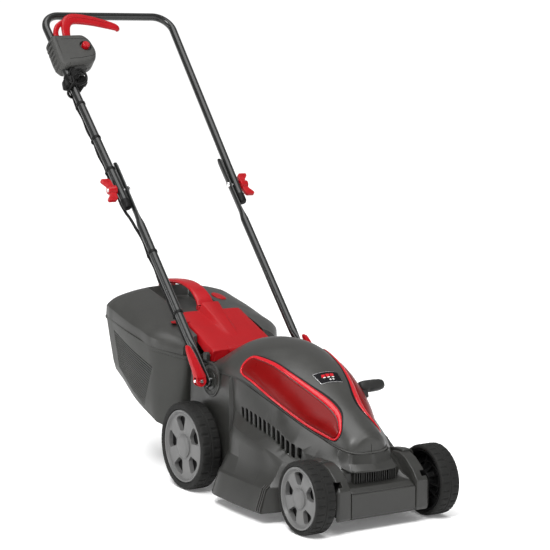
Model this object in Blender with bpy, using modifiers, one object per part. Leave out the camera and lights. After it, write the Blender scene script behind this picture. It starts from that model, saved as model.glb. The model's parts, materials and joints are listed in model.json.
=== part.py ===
"""Corded rotary lawn mower with a rear grass catcher and a folding handle.

Lengths are metres. Heights are above the ground and y is measured from the
front axle; the assembly empty then moves the whole model so that the middle
of its box stands over the origin. The operator looks along -Y, so -X is the
operator's right hand.
"""

import math

import bmesh
import bpy
import numpy as np
from mathutils import Matrix, Vector

GAP = 0.0003                     # clearance between pieces that touch
MODEL_CENTRE_Y = 0.5186          # middle of the box, from the front axle

# Wheels and axles
WHEELBASE = 0.432
FRONT_WHEEL_R = 0.070
REAR_WHEEL_R = 0.0908
FRONT_WHEEL_X = 0.1431           # middle of the tyre
REAR_WHEEL_X = 0.1495
TYRE_WIDTH = 0.0435
CRANK_LENGTH = 0.040
CRANK_REST = math.radians(30)    # the crank points this far above the horizontal
AXLE_R = 0.005
CRANK_X = 0.099                  # the plane of the crank arms
LUG_LENGTH = 0.026
LUG_ANGLE = math.radians(100)    # lug direction at rest, from +Y towards +Z

# Motor and blade
MOTOR_Y = 0.195
BLADE_LENGTH = 0.300
BLADE_Z = 0.0425                 # underside of the blade
WELL_FLOOR_Z = 0.118             # the motor stands here
MOTOR_R = 0.054
MOTOR_TOP_Z = 0.232

# Deck and hood
DECK_WALL = 0.003
HOOD_WALL = 0.0025
# Edge where the hood meets the deck: y, half width, height
PARTING = [
    (0.000, 0.0340, 0.1405), (0.008, 0.0440, 0.1430), (0.022, 0.0490, 0.1460),
    (0.045, 0.0535, 0.1510), (0.070, 0.0620, 0.1620), (0.105, 0.0775, 0.1780),
    (0.190, 0.0990, 0.2140), (0.280, 0.1075, 0.2400), (0.340, 0.1085, 0.2460),
    (0.420, 0.1065, 0.2470), (0.500, 0.1050, 0.2470),
]
# Crest of the hood along the middle: y, height
HOOD_CREST = [
    (0.000, 0.1720), (0.008, 0.1790), (0.022, 0.1880), (0.045, 0.2020),
    (0.105, 0.2390), (0.145, 0.2635), (0.190, 0.2870), (0.235, 0.3050),
    (0.280, 0.3170), (0.340, 0.3190), (0.400, 0.3060), (0.448, 0.2850),
]

# Handle: v runs up the handle from its lower pivot, n stands off its front
PIVOT_Y = 0.4051
PIVOT_Z = 0.2291
HANDLE_ANGLE = math.radians(47.28)
HANDLE_TOP_V = 1.022
KNOB_V = 0.503
TUBE_R = 0.009
TUBE_WALL = 0.0012
UPPER_LEG_X = 0.1275             # half width of the upper legs at v = 0
UPPER_SPLAY = 0.0385             # half width gained for each metre up the leg
UPPER_LEG_END_V = 0.458
LOWER_PIVOT_X = 0.1257
LOWER_KNOB_X = 0.1315
HANDLE_BEND_R = 0.042

# Rear flap and catcher
FLAP_PIN_Y = 0.474
FLAP_PIN_Z = 0.266
FLAP_HALF_WIDTH = 0.080
CATCHER_WALL = 0.0025

# Height lever
LEVER_X = 0.112
LEVER_Y = 0.145
LEVER_Z = 0.125
LEVER_LEAN = math.radians(24)
LEVER_REACH = 0.108              # from the pivot to the grip
LEVER_FOOT = 0.045               # from the pivot to the link's pin
LINK_X = 0.091

COLOURS = {
    "deck_plastic": ((0.060, 0.060, 0.056), 0.45, 0.0),
    "hood_plastic": ((0.070, 0.070, 0.066), 0.35, 0.0),
    "red_plastic": ((0.560, 0.010, 0.015), 0.30, 0.0),
    "insert_red": ((0.380, 0.001, 0.003), 0.15, 0.0),
    "box_plastic": ((0.130, 0.130, 0.125), 0.50, 0.0),
    "hub_plastic": ((0.190, 0.190, 0.190), 0.40, 0.0),
    "tyre": ((0.012, 0.012, 0.012), 0.80, 0.0),
    "black_plastic": ((0.015, 0.015, 0.015), 0.50, 0.0),
    "cable": ((0.010, 0.010, 0.010), 0.55, 0.0),
    "tube_paint": ((0.030, 0.032, 0.032), 0.30, 0.2),
    "steel": ((0.550, 0.550, 0.560), 0.30, 1.0),
    "blade_steel": ((0.300, 0.300, 0.310), 0.40, 1.0),
    "lamination": ((0.180, 0.170, 0.165), 0.50, 0.8),
    "copper": ((0.600, 0.260, 0.130), 0.35, 1.0),
    "badge": ((0.020, 0.020, 0.022), 0.25, 0.0),
}


# ---------------------------------------------------------------- helpers

def clear_scene():
    for item in list(bpy.data.objects):
        bpy.data.objects.remove(item, do_unlink=True)


def collection(name):
    group = bpy.data.collections.new(name)
    bpy.context.scene.collection.children.link(group)
    return group


def material(name):
    colour, roughness, metallic = COLOURS[name]
    item = bpy.data.materials.new(name)
    item.use_nodes = True
    shader = item.node_tree.nodes["Principled BSDF"]
    shader.inputs["Base Color"].default_value = (*colour, 1.0)
    shader.inputs["Roughness"].default_value = roughness
    shader.inputs["Metallic"].default_value = metallic
    item.diffuse_color = (*colour, 1.0)
    return item


def empty(name, location, parent=None, rotation=(0, 0, 0)):
    item = bpy.data.objects.new(name, None)
    GUIDES.objects.link(item)
    item.location = location
    item.rotation_euler = rotation
    item.parent = parent
    return item


def piece(name, mesh, slot, parent):
    """A sub-part: its own object with its own material."""
    item = bpy.data.objects.new(name, mesh)
    PARTS.objects.link(item)
    item.parent = parent
    item.data.materials.append(material(slot))
    return item


def cutter(name, mesh, parent):
    item = bpy.data.objects.new(name, mesh)
    GUIDES.objects.link(item)
    item.parent = parent
    item.hide_render = True
    item.display_type = "WIRE"
    return item


def mesh_from(work, name, smooth=False):
    bmesh.ops.recalc_face_normals(work, faces=work.faces)
    mesh = bpy.data.meshes.new(name)
    work.to_mesh(mesh)
    work.free()
    if smooth:
        mesh.shade_smooth()
        mesh.set_sharp_from_angle(angle=math.radians(35))
    return mesh


def box_mesh(low, high):
    low, high = Vector(low), Vector(high)
    work = bmesh.new()
    bmesh.ops.create_cube(work, size=1.0)
    bmesh.ops.scale(work, vec=high - low, verts=work.verts)
    bmesh.ops.translate(work, vec=(low + high) / 2, verts=work.verts)
    return mesh_from(work, "box")


def rod_mesh(radius, start, end, sides=16):
    """A cylinder between two points."""
    start, end = Vector(start), Vector(end)
    span = end - start
    work = bmesh.new()
    bmesh.ops.create_cone(work, cap_ends=True, segments=sides,
                          radius1=radius, radius2=radius, depth=span.length)
    turn = Vector((0, 0, 1)).rotation_difference(span).to_matrix().to_4x4()
    bmesh.ops.transform(work, matrix=Matrix.Translation((start + end) / 2) @ turn, verts=work.verts)
    return mesh_from(work, "rod", smooth=True)


def prism_mesh(outline, low, high, axis="Z"):
    """A flat outline pulled along an axis; the outline's two values are the other two axes."""
    place = {
        "X": lambda a, b, c: (c, a, b),
        "Y": lambda a, b, c: (a, c, b),
        "Z": lambda a, b, c: (a, b, c),
    }[axis]
    work = bmesh.new()
    face = work.faces.new([work.verts.new(place(a, b, low)) for a, b in outline])
    grown = bmesh.ops.extrude_face_region(work, geom=[face])
    moved = [g for g in grown["geom"] if isinstance(g, bmesh.types.BMVert)]
    bmesh.ops.translate(work, vec=Vector(place(0, 0, high - low)), verts=moved)
    return mesh_from(work, "prism")


def loft_mesh(rows, closed, cap_first=False, cap_last=False, smooth=False):
    """Faces between rows of points that all have the same length."""
    work = bmesh.new()
    grid = [[work.verts.new(point) for point in row] for row in rows]
    count = len(grid[0])
    for lower, upper in zip(grid, grid[1:]):
        for i in range(count if closed else count - 1):
            j = (i + 1) % count
            work.faces.new((lower[i], lower[j], upper[j], upper[i]))
    if cap_first:
        work.faces.new(grid[0])
    if cap_last:
        work.faces.new(grid[-1])
    return mesh_from(work, "loft", smooth)


def turned(name, slot, parent, profile, steps=28, rotation=(0, 0, 0), location=(0, 0, 0)):
    """A ring turned about its local Z from a closed profile of (radius, height)."""
    mesh = bpy.data.meshes.new(name)
    count = len(profile)
    points = [(r, 0.0, z) for r, z in profile]
    edges = [(i, (i + 1) % count) for i in range(count)]
    mesh.from_pydata(points, edges, [])
    item = piece(name, mesh, slot, parent)
    item.location = location
    item.rotation_euler = rotation
    screw = item.modifiers.new("turn", "SCREW")
    screw.axis = "Z"
    screw.angle = 2 * math.pi
    screw.steps = steps
    screw.render_steps = steps
    screw.use_merge_vertices = True
    screw.merge_threshold = 0.00001
    screw.use_smooth_shade = True
    return item


def ring_profile(inner, outer, low, high, chamfer=0.0):
    """Closed profile of a plain ring, running down its outer side."""
    if not chamfer:
        return [(outer, high), (outer, low), (inner, low), (inner, high)]
    return [(outer - chamfer, high), (outer, high - chamfer), (outer, low + chamfer),
            (outer - chamfer, low), (inner, low), (inner, high)]


def solidify(item, thickness, outward=False):
    shell = item.modifiers.new("wall", "SOLIDIFY")
    shell.thickness = thickness
    shell.offset = 1.0 if outward else -1.0
    shell.use_even_offset = True
    return item


def boolean(item, tool, operation):
    step = item.modifiers.new(operation.lower(), "BOOLEAN")
    step.operation = operation
    step.solver = "EXACT"
    step.object = tool
    return item


def cut(item, mesh, parent):
    return boolean(item, cutter(item.name + "_cut", mesh, parent), "DIFFERENCE")


def join(item, mesh, parent):
    return boolean(item, cutter(item.name + "_join", mesh, parent), "UNION")


def read(table, y, column=1):
    """Value of a table's column at y, on straight lines between its rows."""
    return float(np.interp(y, [row[0] for row in table], [row[column] for row in table]))


def mirrored(half):
    """Closed ring from the half of it at x >= 0, given from its front to its rear."""
    other = [(-x, y, z) for x, y, z in reversed(half) if x > 1e-6]
    return list(half) + other


def smooth_path(points, step):
    """Points at an even step along the smooth curve through the given points."""
    points = [Vector(p) for p in points]
    ends = [2 * points[0] - points[1]] + points + [2 * points[-1] - points[-2]]
    dense = []
    for a, b, c, d in zip(ends, ends[1:], ends[2:], ends[3:]):
        for k in range(20):
            t = k / 20
            dense.append(0.5 * (2 * b + (c - a) * t + (2 * a - 5 * b + 4 * c - d) * t ** 2
                                + (3 * b - a - 3 * c + d) * t ** 3))
    dense.append(points[-1])
    reach = np.concatenate([[0.0], np.cumsum([(b - a).length for a, b in zip(dense, dense[1:])])])
    marks = np.linspace(0.0, reach[-1], max(2, round(reach[-1] / step) + 1))
    return [Vector([float(np.interp(m, reach, [p[i] for p in dense])) for i in range(3)]) for m in marks]


def cable(name, parent, points, diameter, step=0.018, slot="cable"):
    """A tube along a smooth route."""
    curve = bpy.data.curves.new(name, "CURVE")
    curve.dimensions = "3D"
    curve.bevel_depth = diameter / 2
    curve.bevel_resolution = 2
    curve.render_resolution_u = 0
    curve.use_fill_caps = True
    route = smooth_path(points, step)
    line = curve.splines.new("POLY")
    line.points.add(len(route) - 1)
    for spot, place in zip(line.points, route):
        spot.co = (*place, 1.0)
    return piece(name, curve, slot, parent)


def swept_rows(path, sections, across, sides=12):
    """Oval rings square to a path that lies in the plane normal to `across`."""
    across = Vector(across)
    path = [Vector(p) for p in path]
    rows = []
    for i, centre in enumerate(path):
        before, after = path[max(i - 1, 0)], path[min(i + 1, len(path) - 1)]
        side = (after - before).normalized().cross(across)
        if 0 < i < len(path) - 1:
            bend = (centre - before).normalized().angle((after - centre).normalized())
            side /= math.cos(bend / 2)
        half_side, half_across = sections[i]
        rows.append([centre + side * half_side * math.cos(turn) + across * half_across * math.sin(turn)
                     for turn in (2 * math.pi * k / sides for k in range(sides))])
    return rows


def arc(centre, radius, first, last, count):
    """Points on an arc, angles in degrees."""
    return [(centre[0] + radius * math.cos(math.radians(a)), centre[1] + radius * math.sin(math.radians(a)))
            for a in np.linspace(first, last, count)]


# ---------------------------------------------------------------- deck and hood

def deck_columns():
    """Outer surface of the deck, one column of points for each station round its half outline."""
    top = {y: (x, y, z) for y, x, z in PARTING}
    return [
        [(0, -.052, .026), (0, -.052, .078), (0, -.042, .084), (0, -.042, .106), (0, -.050, .112), (0, 0, .1405)],
        [(.040, -.052, .026), (.040, -.052, .078), (.040, -.041, .084), (.040, -.041, .106),
         (.038, -.046, .112), top[0.000]],
        [(.072, -.054, .026), (.072, -.052, .086), (.070, -.042, .092), (.066, -.030, .104),
         (.058, -.022, .116), top[0.008]],
        [(.107, -.048, .026), (.107, -.046, .086), (.104, -.030, .104), (.098, -.012, .120),
         (.080, .004, .130), top[0.022]],
        [(.110, .000, .026), (.110, .000, .086), (.108, .008, .118), (.104, .020, .130),
         (.088, .035, .138), top[0.045]],
        [(.111, .078, .024), (.111, .078, .086), (.110, .076, .118), (.108, .076, .132),
         (.098, .074, .142), top[0.070]],
        [(.184, .100, .022), (.170, .102, .066), (.150, .104, .105), (.138, .106, .130),
         (.118, .108, .146), top[0.105]],
        [(.187, .190, .022), (.172, .190, .066), (.156, .190, .105), (.146, .190, .138),
         (.126, .190, .156), top[0.190]],
        [(.180, .292, .022), (.166, .286, .066), (.152, .282, .110), (.142, .278, .150),
         (.128, .272, .175), top[0.280]],
        [(.117, .338, .024), (.117, .336, .066), (.117, .334, .110), (.118, .332, .160),
         (.116, .332, .200), top[0.340]],
        [(.116, .420, .040), (.116, .420, .080), (.116, .420, .120), (.114, .420, .170),
         (.112, .420, .210), top[0.420]],
        [(.112, .498, .070), (.112, .499, .100), (.112, .500, .130), (.111, .500, .170),
         (.109, .500, .210), top[0.500]],
        [(0, .500, .070), (0, .501, .100), (0, .502, .130), (0, .502, .170), (0, .502, .210), (0, .502, .247)],
    ]


def well_ring(columns, radius, height):
    """Ring round the motor axis with one point facing each column's top."""
    ring = []
    for x, y, _ in (column[-1] for column in columns):
        turn = math.atan2(y - MOTOR_Y, x)
        ring.append((radius * math.cos(turn), MOTOR_Y + radius * math.sin(turn), height))
    return ring


def build_deck(parent):
    columns = deck_columns()
    columns[0][-1] = (0, PARTING[0][0], PARTING[0][2])
    rings = [[column[k] for column in columns] for k in range(6)]
    rings.append(well_ring(columns, 0.088, 0.152))
    rings.append(well_ring(columns, 0.085, WELL_FLOOR_Z))
    rings.append(well_ring(columns, 0.016, WELL_FLOOR_Z))
    for ring in rings:
        ring[0] = (0, *ring[0][1:])
        ring[-1] = (0, *ring[-1][1:])
    deck = piece("deck", loft_mesh([mirrored(ring) for ring in rings], closed=True), "deck_plastic", parent)
    solidify(deck, DECK_WALL)
    # Slot for the height lever, and the pin that the lever turns on
    cut(deck, box_mesh((0.1050, 0.100, 0.120), (0.1195, 0.190, 0.200)), parent)
    join(deck, rod_mesh(0.0030, (0.1080, LEVER_Y, LEVER_Z), (0.1445, LEVER_Y, LEVER_Z), 12), parent)
    for side in (-1, 1):
        # Serrated boss for the handle, and lug for the flap's pin
        join(deck, rod_mesh(0.031, (side * 0.108, PIVOT_Y, PIVOT_Z), (side * 0.1200, PIVOT_Y, PIVOT_Z), 24), parent)
        low_x, high_x = sorted((side * 0.085, side * 0.1060))
        cut(deck, box_mesh((low_x, PIVOT_Y - 0.0105, PIVOT_Z - 0.0115),
                           (high_x, PIVOT_Y + 0.0107, PIVOT_Z + 0.0105)), parent)
        low_x, high_x = sorted((side * 0.083, side * 0.091))
        join(deck, box_mesh((low_x, FLAP_PIN_Y - 0.008, 0.226), (high_x, FLAP_PIN_Y + 0.008, 0.2745)), parent)
        # Slots that the stub axles rise and fall in
        low_x, high_x = sorted((side * 0.100, side * 0.130))
        cut(deck, box_mesh((low_x, -0.009, 0.000), (high_x, 0.015, 0.079)), parent)
        cut(deck, box_mesh((low_x, 0.423, 0.000), (high_x, 0.447, 0.100)), parent)
        cut(deck, rod_mesh(0.0045, (side * 0.100, PIVOT_Y, PIVOT_Z), (side * 0.125, PIVOT_Y, PIVOT_Z), 12), parent)
    cut(deck, rod_mesh(0.0034, (-0.1, FLAP_PIN_Y, FLAP_PIN_Z), (0.1, FLAP_PIN_Y, FLAP_PIN_Z), 12), parent)
    cut(deck, box_mesh((-0.088, 0.482, 0.135), (0.088, 0.515, 0.2275)), parent)
    return deck


def hood_section(y, grow=0.0, count=7):
    """Half section of the hood from its edge to its crest, moved outward by grow."""
    half = read(PARTING, y)
    base = read(PARTING, y, 2) + 0.001
    rise = read(HOOD_CREST, y) - base
    points = []
    for k in range(count):
        turn = math.pi / 2 * k / (count - 1)
        across, up = math.cos(turn), (1 - math.cos(turn) ** 2) ** 0.72
        points.append(((half + grow) * across, y, base + (rise + grow) * up))
    return points


def build_hood(parent):
    stations = [0.0008] + [row[0] for row in HOOD_CREST[1:]] + [0.070]
    rows = [mirrored_section(hood_section(y)) for y in sorted(stations)]
    hood = piece("hood", loft_mesh(rows, closed=False, cap_first=True, cap_last=True, smooth=True),
                 "hood_plastic", parent)
    solidify(hood, HOOD_WALL)
    cut(hood, rod_mesh(0.0056, (-0.0780, 0.4360, 0.2550), (-0.0855, 0.4540, 0.2550), 12), parent)
    return hood


def mirrored_section(half):
    """Open section from one edge over the crest to the other edge."""
    return [(-x, y, z) for x, y, z in half[:-1]] + [(0, *half[-1][1:])] + list(reversed(half[:-1]))


def build_inserts(parent):
    """Teardrop inlays that lie on the hood's flanks."""
    outline = ([(.315, .260), (.323, .270), (.318, .284), (.300, .291), (.250, .281), (.200, .268),
                (.150, .2505), (.100, .230), (.060, .210), (.030, .190), (.020, .177), (.024, .165),
                (.040, .161), (.080, .176), (.130, .199), (.200, .229), (.260, .248)])
    stations = [0.0008] + [row[0] for row in HOOD_CREST[1:]] + [0.070]
    for name, side in (("insert_right", -1), ("insert_left", 1)):
        rows = []
        for y in sorted(stations):
            half = hood_section(y, grow=0.0006)[1:-1]
            rows.append([(side * x, y_at, z) for x, y_at, z in half])
        item = piece(name, loft_mesh(rows, closed=False, smooth=True), "insert_red", parent)
        solidify(item, 0.0016, outward=True)
        low, high = sorted((side * 0.020, side * 0.130))
        boolean(item, cutter(name + "_outline", prism_mesh(outline, low, high, "X"), parent), "INTERSECT")


def build_badge(parent):
    slope = math.atan2(read(HOOD_CREST, 0.156) - read(HOOD_CREST, 0.136), 0.020)
    badge = piece("badge_plate", box_mesh((-0.022, -0.011, 0.0006), (0.022, 0.011, 0.0020)), "badge", parent)
    badge.location = (0, 0.146, read(HOOD_CREST, 0.146))
    badge.rotation_euler = (slope, 0, 0)


def build_ramp(parent):
    """Floor of the discharge chute, from the blade chamber up to the catcher."""
    start, end = (0.356, 0.0790), (0.4955, 0.1300)
    thick = 0.003
    outline = [start, end, (end[0], end[1] - thick), (start[0], start[1] - thick)]
    piece("discharge_ramp", prism_mesh(outline, -0.083, 0.083, "X"), "deck_plastic", parent)


# ---------------------------------------------------------------- motor and blade

def build_motor(parent):
    axis = (0, MOTOR_Y, 0)
    base_low = WELL_FLOOR_Z + GAP
    turned("motor_base", "black_plastic", parent,
           [(0.050, 0.1275), (0.062, 0.1240), (0.062, base_low), (0.0113, base_low), (0.0113, 0.1275)],
           location=axis)
    turned("motor_housing", "steel", parent,
           [(0.030, 0.2380), (MOTOR_R, MOTOR_TOP_Z - 0.004), (MOTOR_R, 0.1279), (MOTOR_R - 0.0025, 0.1279),
            (MOTOR_R - 0.0025, MOTOR_TOP_Z - 0.006), (0.0290, 0.2355), (0.0142, 0.2355), (0.0142, 0.2265),
            (0.0113, 0.2265), (0.0113, 0.2380)],
           steps=32, location=axis)
    turned("stator", "lamination", parent, ring_profile(0.0315, 0.0510, 0.150, 0.202), location=axis)
    turned("bearing_upper", "steel", parent, ring_profile(0.0063, 0.0110, 0.2270, 0.2350), steps=20, location=axis)
    turned("bearing_lower", "steel", parent, ring_profile(0.0063, 0.0110, 0.1190, 0.1270), steps=20, location=axis)
    for name, side in (("brush_holder_right", -1), ("brush_holder_left", 1)):
        low, high = sorted((side * 0.0146, side * 0.0440))
        piece(name, box_mesh((low, MOTOR_Y - 0.004, 0.2075), (high, MOTOR_Y + 0.004, 0.2195)), "copper", parent)


def build_rotor(parent):
    """Everything that turns with the blade; the parent empty is on the motor axis."""
    rod = rod_mesh(0.0060, (0, 0, 0.0488), (0, 0, 0.2330), 20)
    piece("motor_shaft", rod, "steel", parent)
    turned("armature", "lamination", parent, ring_profile(0.0063, 0.0305, 0.151, 0.201, 0.002), steps=24)
    turned("commutator", "copper", parent, ring_profile(0.0063, 0.0142, 0.2065, 0.2205), steps=20)
    build_fan(parent)
    holder = turned("blade_holder", "black_plastic", parent,
                    [(0.0160, 0.0780), (0.0200, 0.0600), (0.0340, 0.0540), (0.0340, 0.0458), (0.0050, 0.0458),
                     (0.0050, 0.0484), (0.0063, 0.0484), (0.0063, 0.0780)], steps=24)
    holder.data.shade_smooth()
    build_blade(parent)
    bolt = piece("blade_bolt", rod_mesh(0.0095, (0, 0, 0.0355), (0, 0, BLADE_Z - GAP), 6), "steel", parent)
    join(bolt, rod_mesh(0.0044, (0, 0, 0.0380), (0, 0, 0.0480), 12), parent)


def build_fan(parent):
    fan = piece("cooling_fan", rod_mesh(0.0460, (0, 0, 0.1300), (0, 0, 0.1320), 24), "black_plastic", parent)
    join(fan, rod_mesh(0.0110, (0, 0, 0.1310), (0, 0, 0.1450), 16), parent)
    for k in range(8):
        blade = box_mesh((0.0090, -0.0008, 0.1310), (0.0450, 0.0008, 0.1430))
        blade.transform(Matrix.Rotation(2 * math.pi * k / 8, 4, "Z"))
        join(fan, blade, parent)
    cut(fan, rod_mesh(0.0063, (0, 0, 0.12), (0, 0, 0.15), 20), parent)


def build_blade(parent):
    """Steel bar with sharpened ends and a lifted wing behind each cutting edge."""
    half, width, thick = BLADE_LENGTH / 2, 0.045, 0.0030
    stations = [(-half, 1), (-0.115, 1), (-0.085, 0), (0.085, 0), (0.115, -1), (half, -1)]
    rows = []
    for x, wing in stations:
        lift = 0.013
        front, rear = (lift if wing > 0 else 0.0), (lift if wing < 0 else 0.0)
        taper = 0.004 if abs(wing) else 0.0
        bottom = [(x, -width / 2 + taper * (wing < 0), BLADE_Z + front),
                  (x, width / 2 - taper * (wing > 0), BLADE_Z + rear)]
        middle = [(x, -width / 4, BLADE_Z), (x, width / 4, BLADE_Z)]
        lower = [bottom[0], middle[0], middle[1], bottom[1]]
        rows.append(lower + [(px, py, pz + thick) for px, py, pz in reversed(lower)])
    blade = piece("blade", loft_mesh(rows, closed=True, cap_first=True, cap_last=True), "blade_steel", parent)
    cut(blade, rod_mesh(0.0050, (0, 0, 0.03), (0, 0, 0.06), 16), parent)


# ---------------------------------------------------------------- running gear

def build_axle(name, parent, wheel_x):
    """Cranked axle; the parent empty lies on the line that it turns on."""
    out_y = CRANK_LENGTH * math.cos(CRANK_REST)
    out_z = CRANK_LENGTH * math.sin(CRANK_REST)
    end = wheel_x + 0.010
    half = [(0, 0, 0), (CRANK_X - 0.004, 0, 0), (CRANK_X, out_y * 0.12, out_z * 0.12),
            (CRANK_X, out_y * 0.88, out_z * 0.88), (CRANK_X + 0.004, out_y, out_z), (end, out_y, out_z)]
    route = [(-x, y, z) for x, y, z in reversed(half[1:])] + half
    curve = bpy.data.curves.new(name, "CURVE")
    curve.dimensions = "3D"
    curve.bevel_depth = AXLE_R
    curve.bevel_resolution = 2
    curve.render_resolution_u = 0
    curve.use_fill_caps = True
    line = curve.splines.new("POLY")
    line.points.add(len(route) - 1)
    for spot, place in zip(line.points, route):
        spot.co = (*place, 1.0)
    guide = bpy.data.objects.new(name + "_line", curve)
    GUIDES.objects.link(guide)
    bpy.context.view_layer.update()
    solid = bpy.data.meshes.new_from_object(guide.evaluated_get(bpy.context.evaluated_depsgraph_get()))
    bpy.data.objects.remove(guide)
    work = bmesh.new()
    work.from_mesh(solid)
    bmesh.ops.remove_doubles(work, verts=work.verts, dist=0.00002)
    axle = piece(name, mesh_from(work, name, smooth=True), "steel", parent)
    tip = (LUG_LENGTH * math.cos(LUG_ANGLE), LUG_LENGTH * math.sin(LUG_ANGLE))
    join(axle, lug_mesh(tip), parent)
    join(axle, rod_mesh(0.0030, (LINK_X - 0.006, *tip), (LINK_X + 0.0020, *tip), 12), parent)
    return axle


def lug_mesh(tip):
    """Flat lug from the axle's line to the link's pin."""
    ux, uy = math.cos(LUG_ANGLE), math.sin(LUG_ANGLE)
    outline = []
    for centre, radius, start in (((0, 0), 0.0085, 90), (tip, 0.0055, -90)):
        for a in range(0, 181, 30):
            turn = math.radians(start + a) + LUG_ANGLE
            outline.append((centre[0] + radius * math.cos(turn), centre[1] + radius * math.sin(turn)))
    return prism_mesh(outline, LINK_X - 0.0065, LINK_X - 0.0020, "X")


def crank_pivot(wheel_y, wheel_z):
    """The line an axle turns on, in front of and below its wheels."""
    return (0, wheel_y - CRANK_LENGTH * math.cos(CRANK_REST), wheel_z - CRANK_LENGTH * math.sin(CRANK_REST))


def build_wheel(name, parent, side, radius, rim):
    """Tyre and spoked hub; the parent empty is at the wheel's centre."""
    rotation = (0, side * math.pi / 2, 0)
    half = TYRE_WIDTH / 2
    shoulder = 0.004
    turned("tyre_" + name, "tyre", parent,
           [(radius - shoulder, half), (radius, half - shoulder), (radius, shoulder - half),
            (radius - shoulder, -half), (rim + GAP, -half), (rim + GAP, half)],
           steps=32, rotation=rotation)
    hub = turned("hub_" + name, "hub_plastic", parent,
                 [(0.0100, half - 0.002), (0.0180, half - 0.004), (rim - 0.006, half - 0.005),
                  (rim, half - 0.001), (rim, 0.001 - half), (rim - 0.004, 0.001 - half),
                  (rim - 0.006, half - 0.010), (0.0150, half - 0.010), (0.0130, 0.001 - half),
                  (0.0053, 0.001 - half), (0.0053, half - 0.0095), (0.0040, half - 0.0085)],
                 steps=32, rotation=rotation)
    spin = empty("hub_" + name + "_spokes", (0, 0, 0), parent, rotation)
    for k in range(5):
        cut(hub, hub_opening(rim, 2 * math.pi * k / 5 + math.pi / 2), spin)
    close_cap(hub, parent, rotation, half)
    return hub


def hub_opening(rim, turn):
    """Wedge-shaped window between two spokes."""
    inner, outer = rim * 0.40, rim * 0.82
    outline = [(inner * math.cos(turn + a), inner * math.sin(turn + a)) for a in (-0.28, 0.30)]
    outline += [(outer * math.cos(turn + a), outer * math.sin(turn + a)) for a in (0.34, 0.05, -0.24)]
    return prism_mesh(outline, -0.03, 0.03, "Z")


def close_cap(hub, parent, rotation, half):
    """Round cap that closes the hub's outer end."""
    mesh = rod_mesh(0.0165, (0, 0, half - 0.0080), (0, 0, half - 0.0005), 24)
    tool = cutter(hub.name + "_cap", mesh, parent)
    tool.rotation_euler = rotation
    boolean(hub, tool, "UNION")


def build_link(parent, length, drop, lever_reach):
    """Flat bar that makes both axles turn together; the parent empty is on its rear pin."""
    front = (-length, drop)
    span = math.hypot(*front)
    across = (-drop / span, -length / span)
    half = 0.0045
    outline = [(0 + across[0] * half, 0 + across[1] * half), (0.006, 0), (-across[0] * half, -across[1] * half),
               (front[0] - across[0] * half, front[1] - across[1] * half), (front[0] - 0.006, front[1]),
               (front[0] + across[0] * half, front[1] + across[1] * half)]
    bar = piece("link_rod", prism_mesh(outline, LINK_X - 0.0014, LINK_X + 0.0016, "X"), "steel", parent)
    for y, z in ((0, 0), front):
        cut(bar, rod_mesh(0.0033, (LINK_X - 0.01, y, z), (LINK_X + 0.01, y, z), 12), parent)
    pin_y, pin_z = lever_reach
    join(bar, rod_mesh(0.0024, (LINK_X, pin_y, pin_z), (LEVER_X + 0.004, pin_y, pin_z), 12), parent)
    return bar


def build_height_lever(parent):
    """Lever and its grip; the parent empty is on the lever's pivot and leans back with it."""
    reach, tip, slot = LEVER_REACH, -LEVER_FOOT - 0.012, -LEVER_FOOT + 0.009
    outline = [(-0.0085, tip), (-0.0050, -0.010), (-0.0050, reach), (0.0050, reach), (0.0050, -0.010),
               (0.0085, tip), (0.0048, tip), (0.0048, slot), (-0.0048, slot), (-0.0048, tip)]
    lever = piece("height_lever", prism_mesh(outline, LEVER_X - 0.002, LEVER_X + 0.002, "X"), "black_plastic", parent)
    cut(lever, rod_mesh(0.0033, (LEVER_X - 0.01, 0, 0), (LEVER_X + 0.01, 0, 0), 12), parent)
    grip_rows = []
    for x, half_y, half_z in ((-0.0085, 0.006, 0.005), (-0.005, 0.0105, 0.0095), (0.002, 0.0130, 0.0120),
                              (0.040, 0.0130, 0.0120), (0.048, 0.0105, 0.0095), (0.052, 0.006, 0.005)):
        grip_rows.append([(LEVER_X + x, half_y * math.cos(t), reach + 0.0025 + half_z * math.sin(t))
                          for t in (2 * math.pi * k / 14 for k in range(14))])
    grip = piece("height_grip", loft_mesh(grip_rows, closed=True, cap_first=True, cap_last=True, smooth=True),
                 "black_plastic", parent)
    cut(grip, box_mesh((LEVER_X - 0.0023, -0.0053, reach - 0.03), (LEVER_X + 0.0023, 0.0053, reach + GAP)), parent)


def build_axle_clamps(parent):
    """Bearing blocks that the middle of each axle turns in."""
    for name, pivot in (("axle_clamp_front", crank_pivot(0, FRONT_WHEEL_R)),
                        ("axle_clamp_rear", crank_pivot(WHEELBASE, REAR_WHEEL_R))):
        _, y, z = pivot
        clamp = piece(name, box_mesh((-0.020, y - 0.0085, z - 0.0085), (0.020, y + 0.0085, z + 0.0085)),
                      "black_plastic", parent)
        cut(clamp, rod_mesh(AXLE_R + 0.0003, (-0.03, y, z), (0.03, y, z), 16), parent)


# ---------------------------------------------------------------- handle

def upper_x(v):
    return UPPER_LEG_X + UPPER_SPLAY * v


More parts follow.
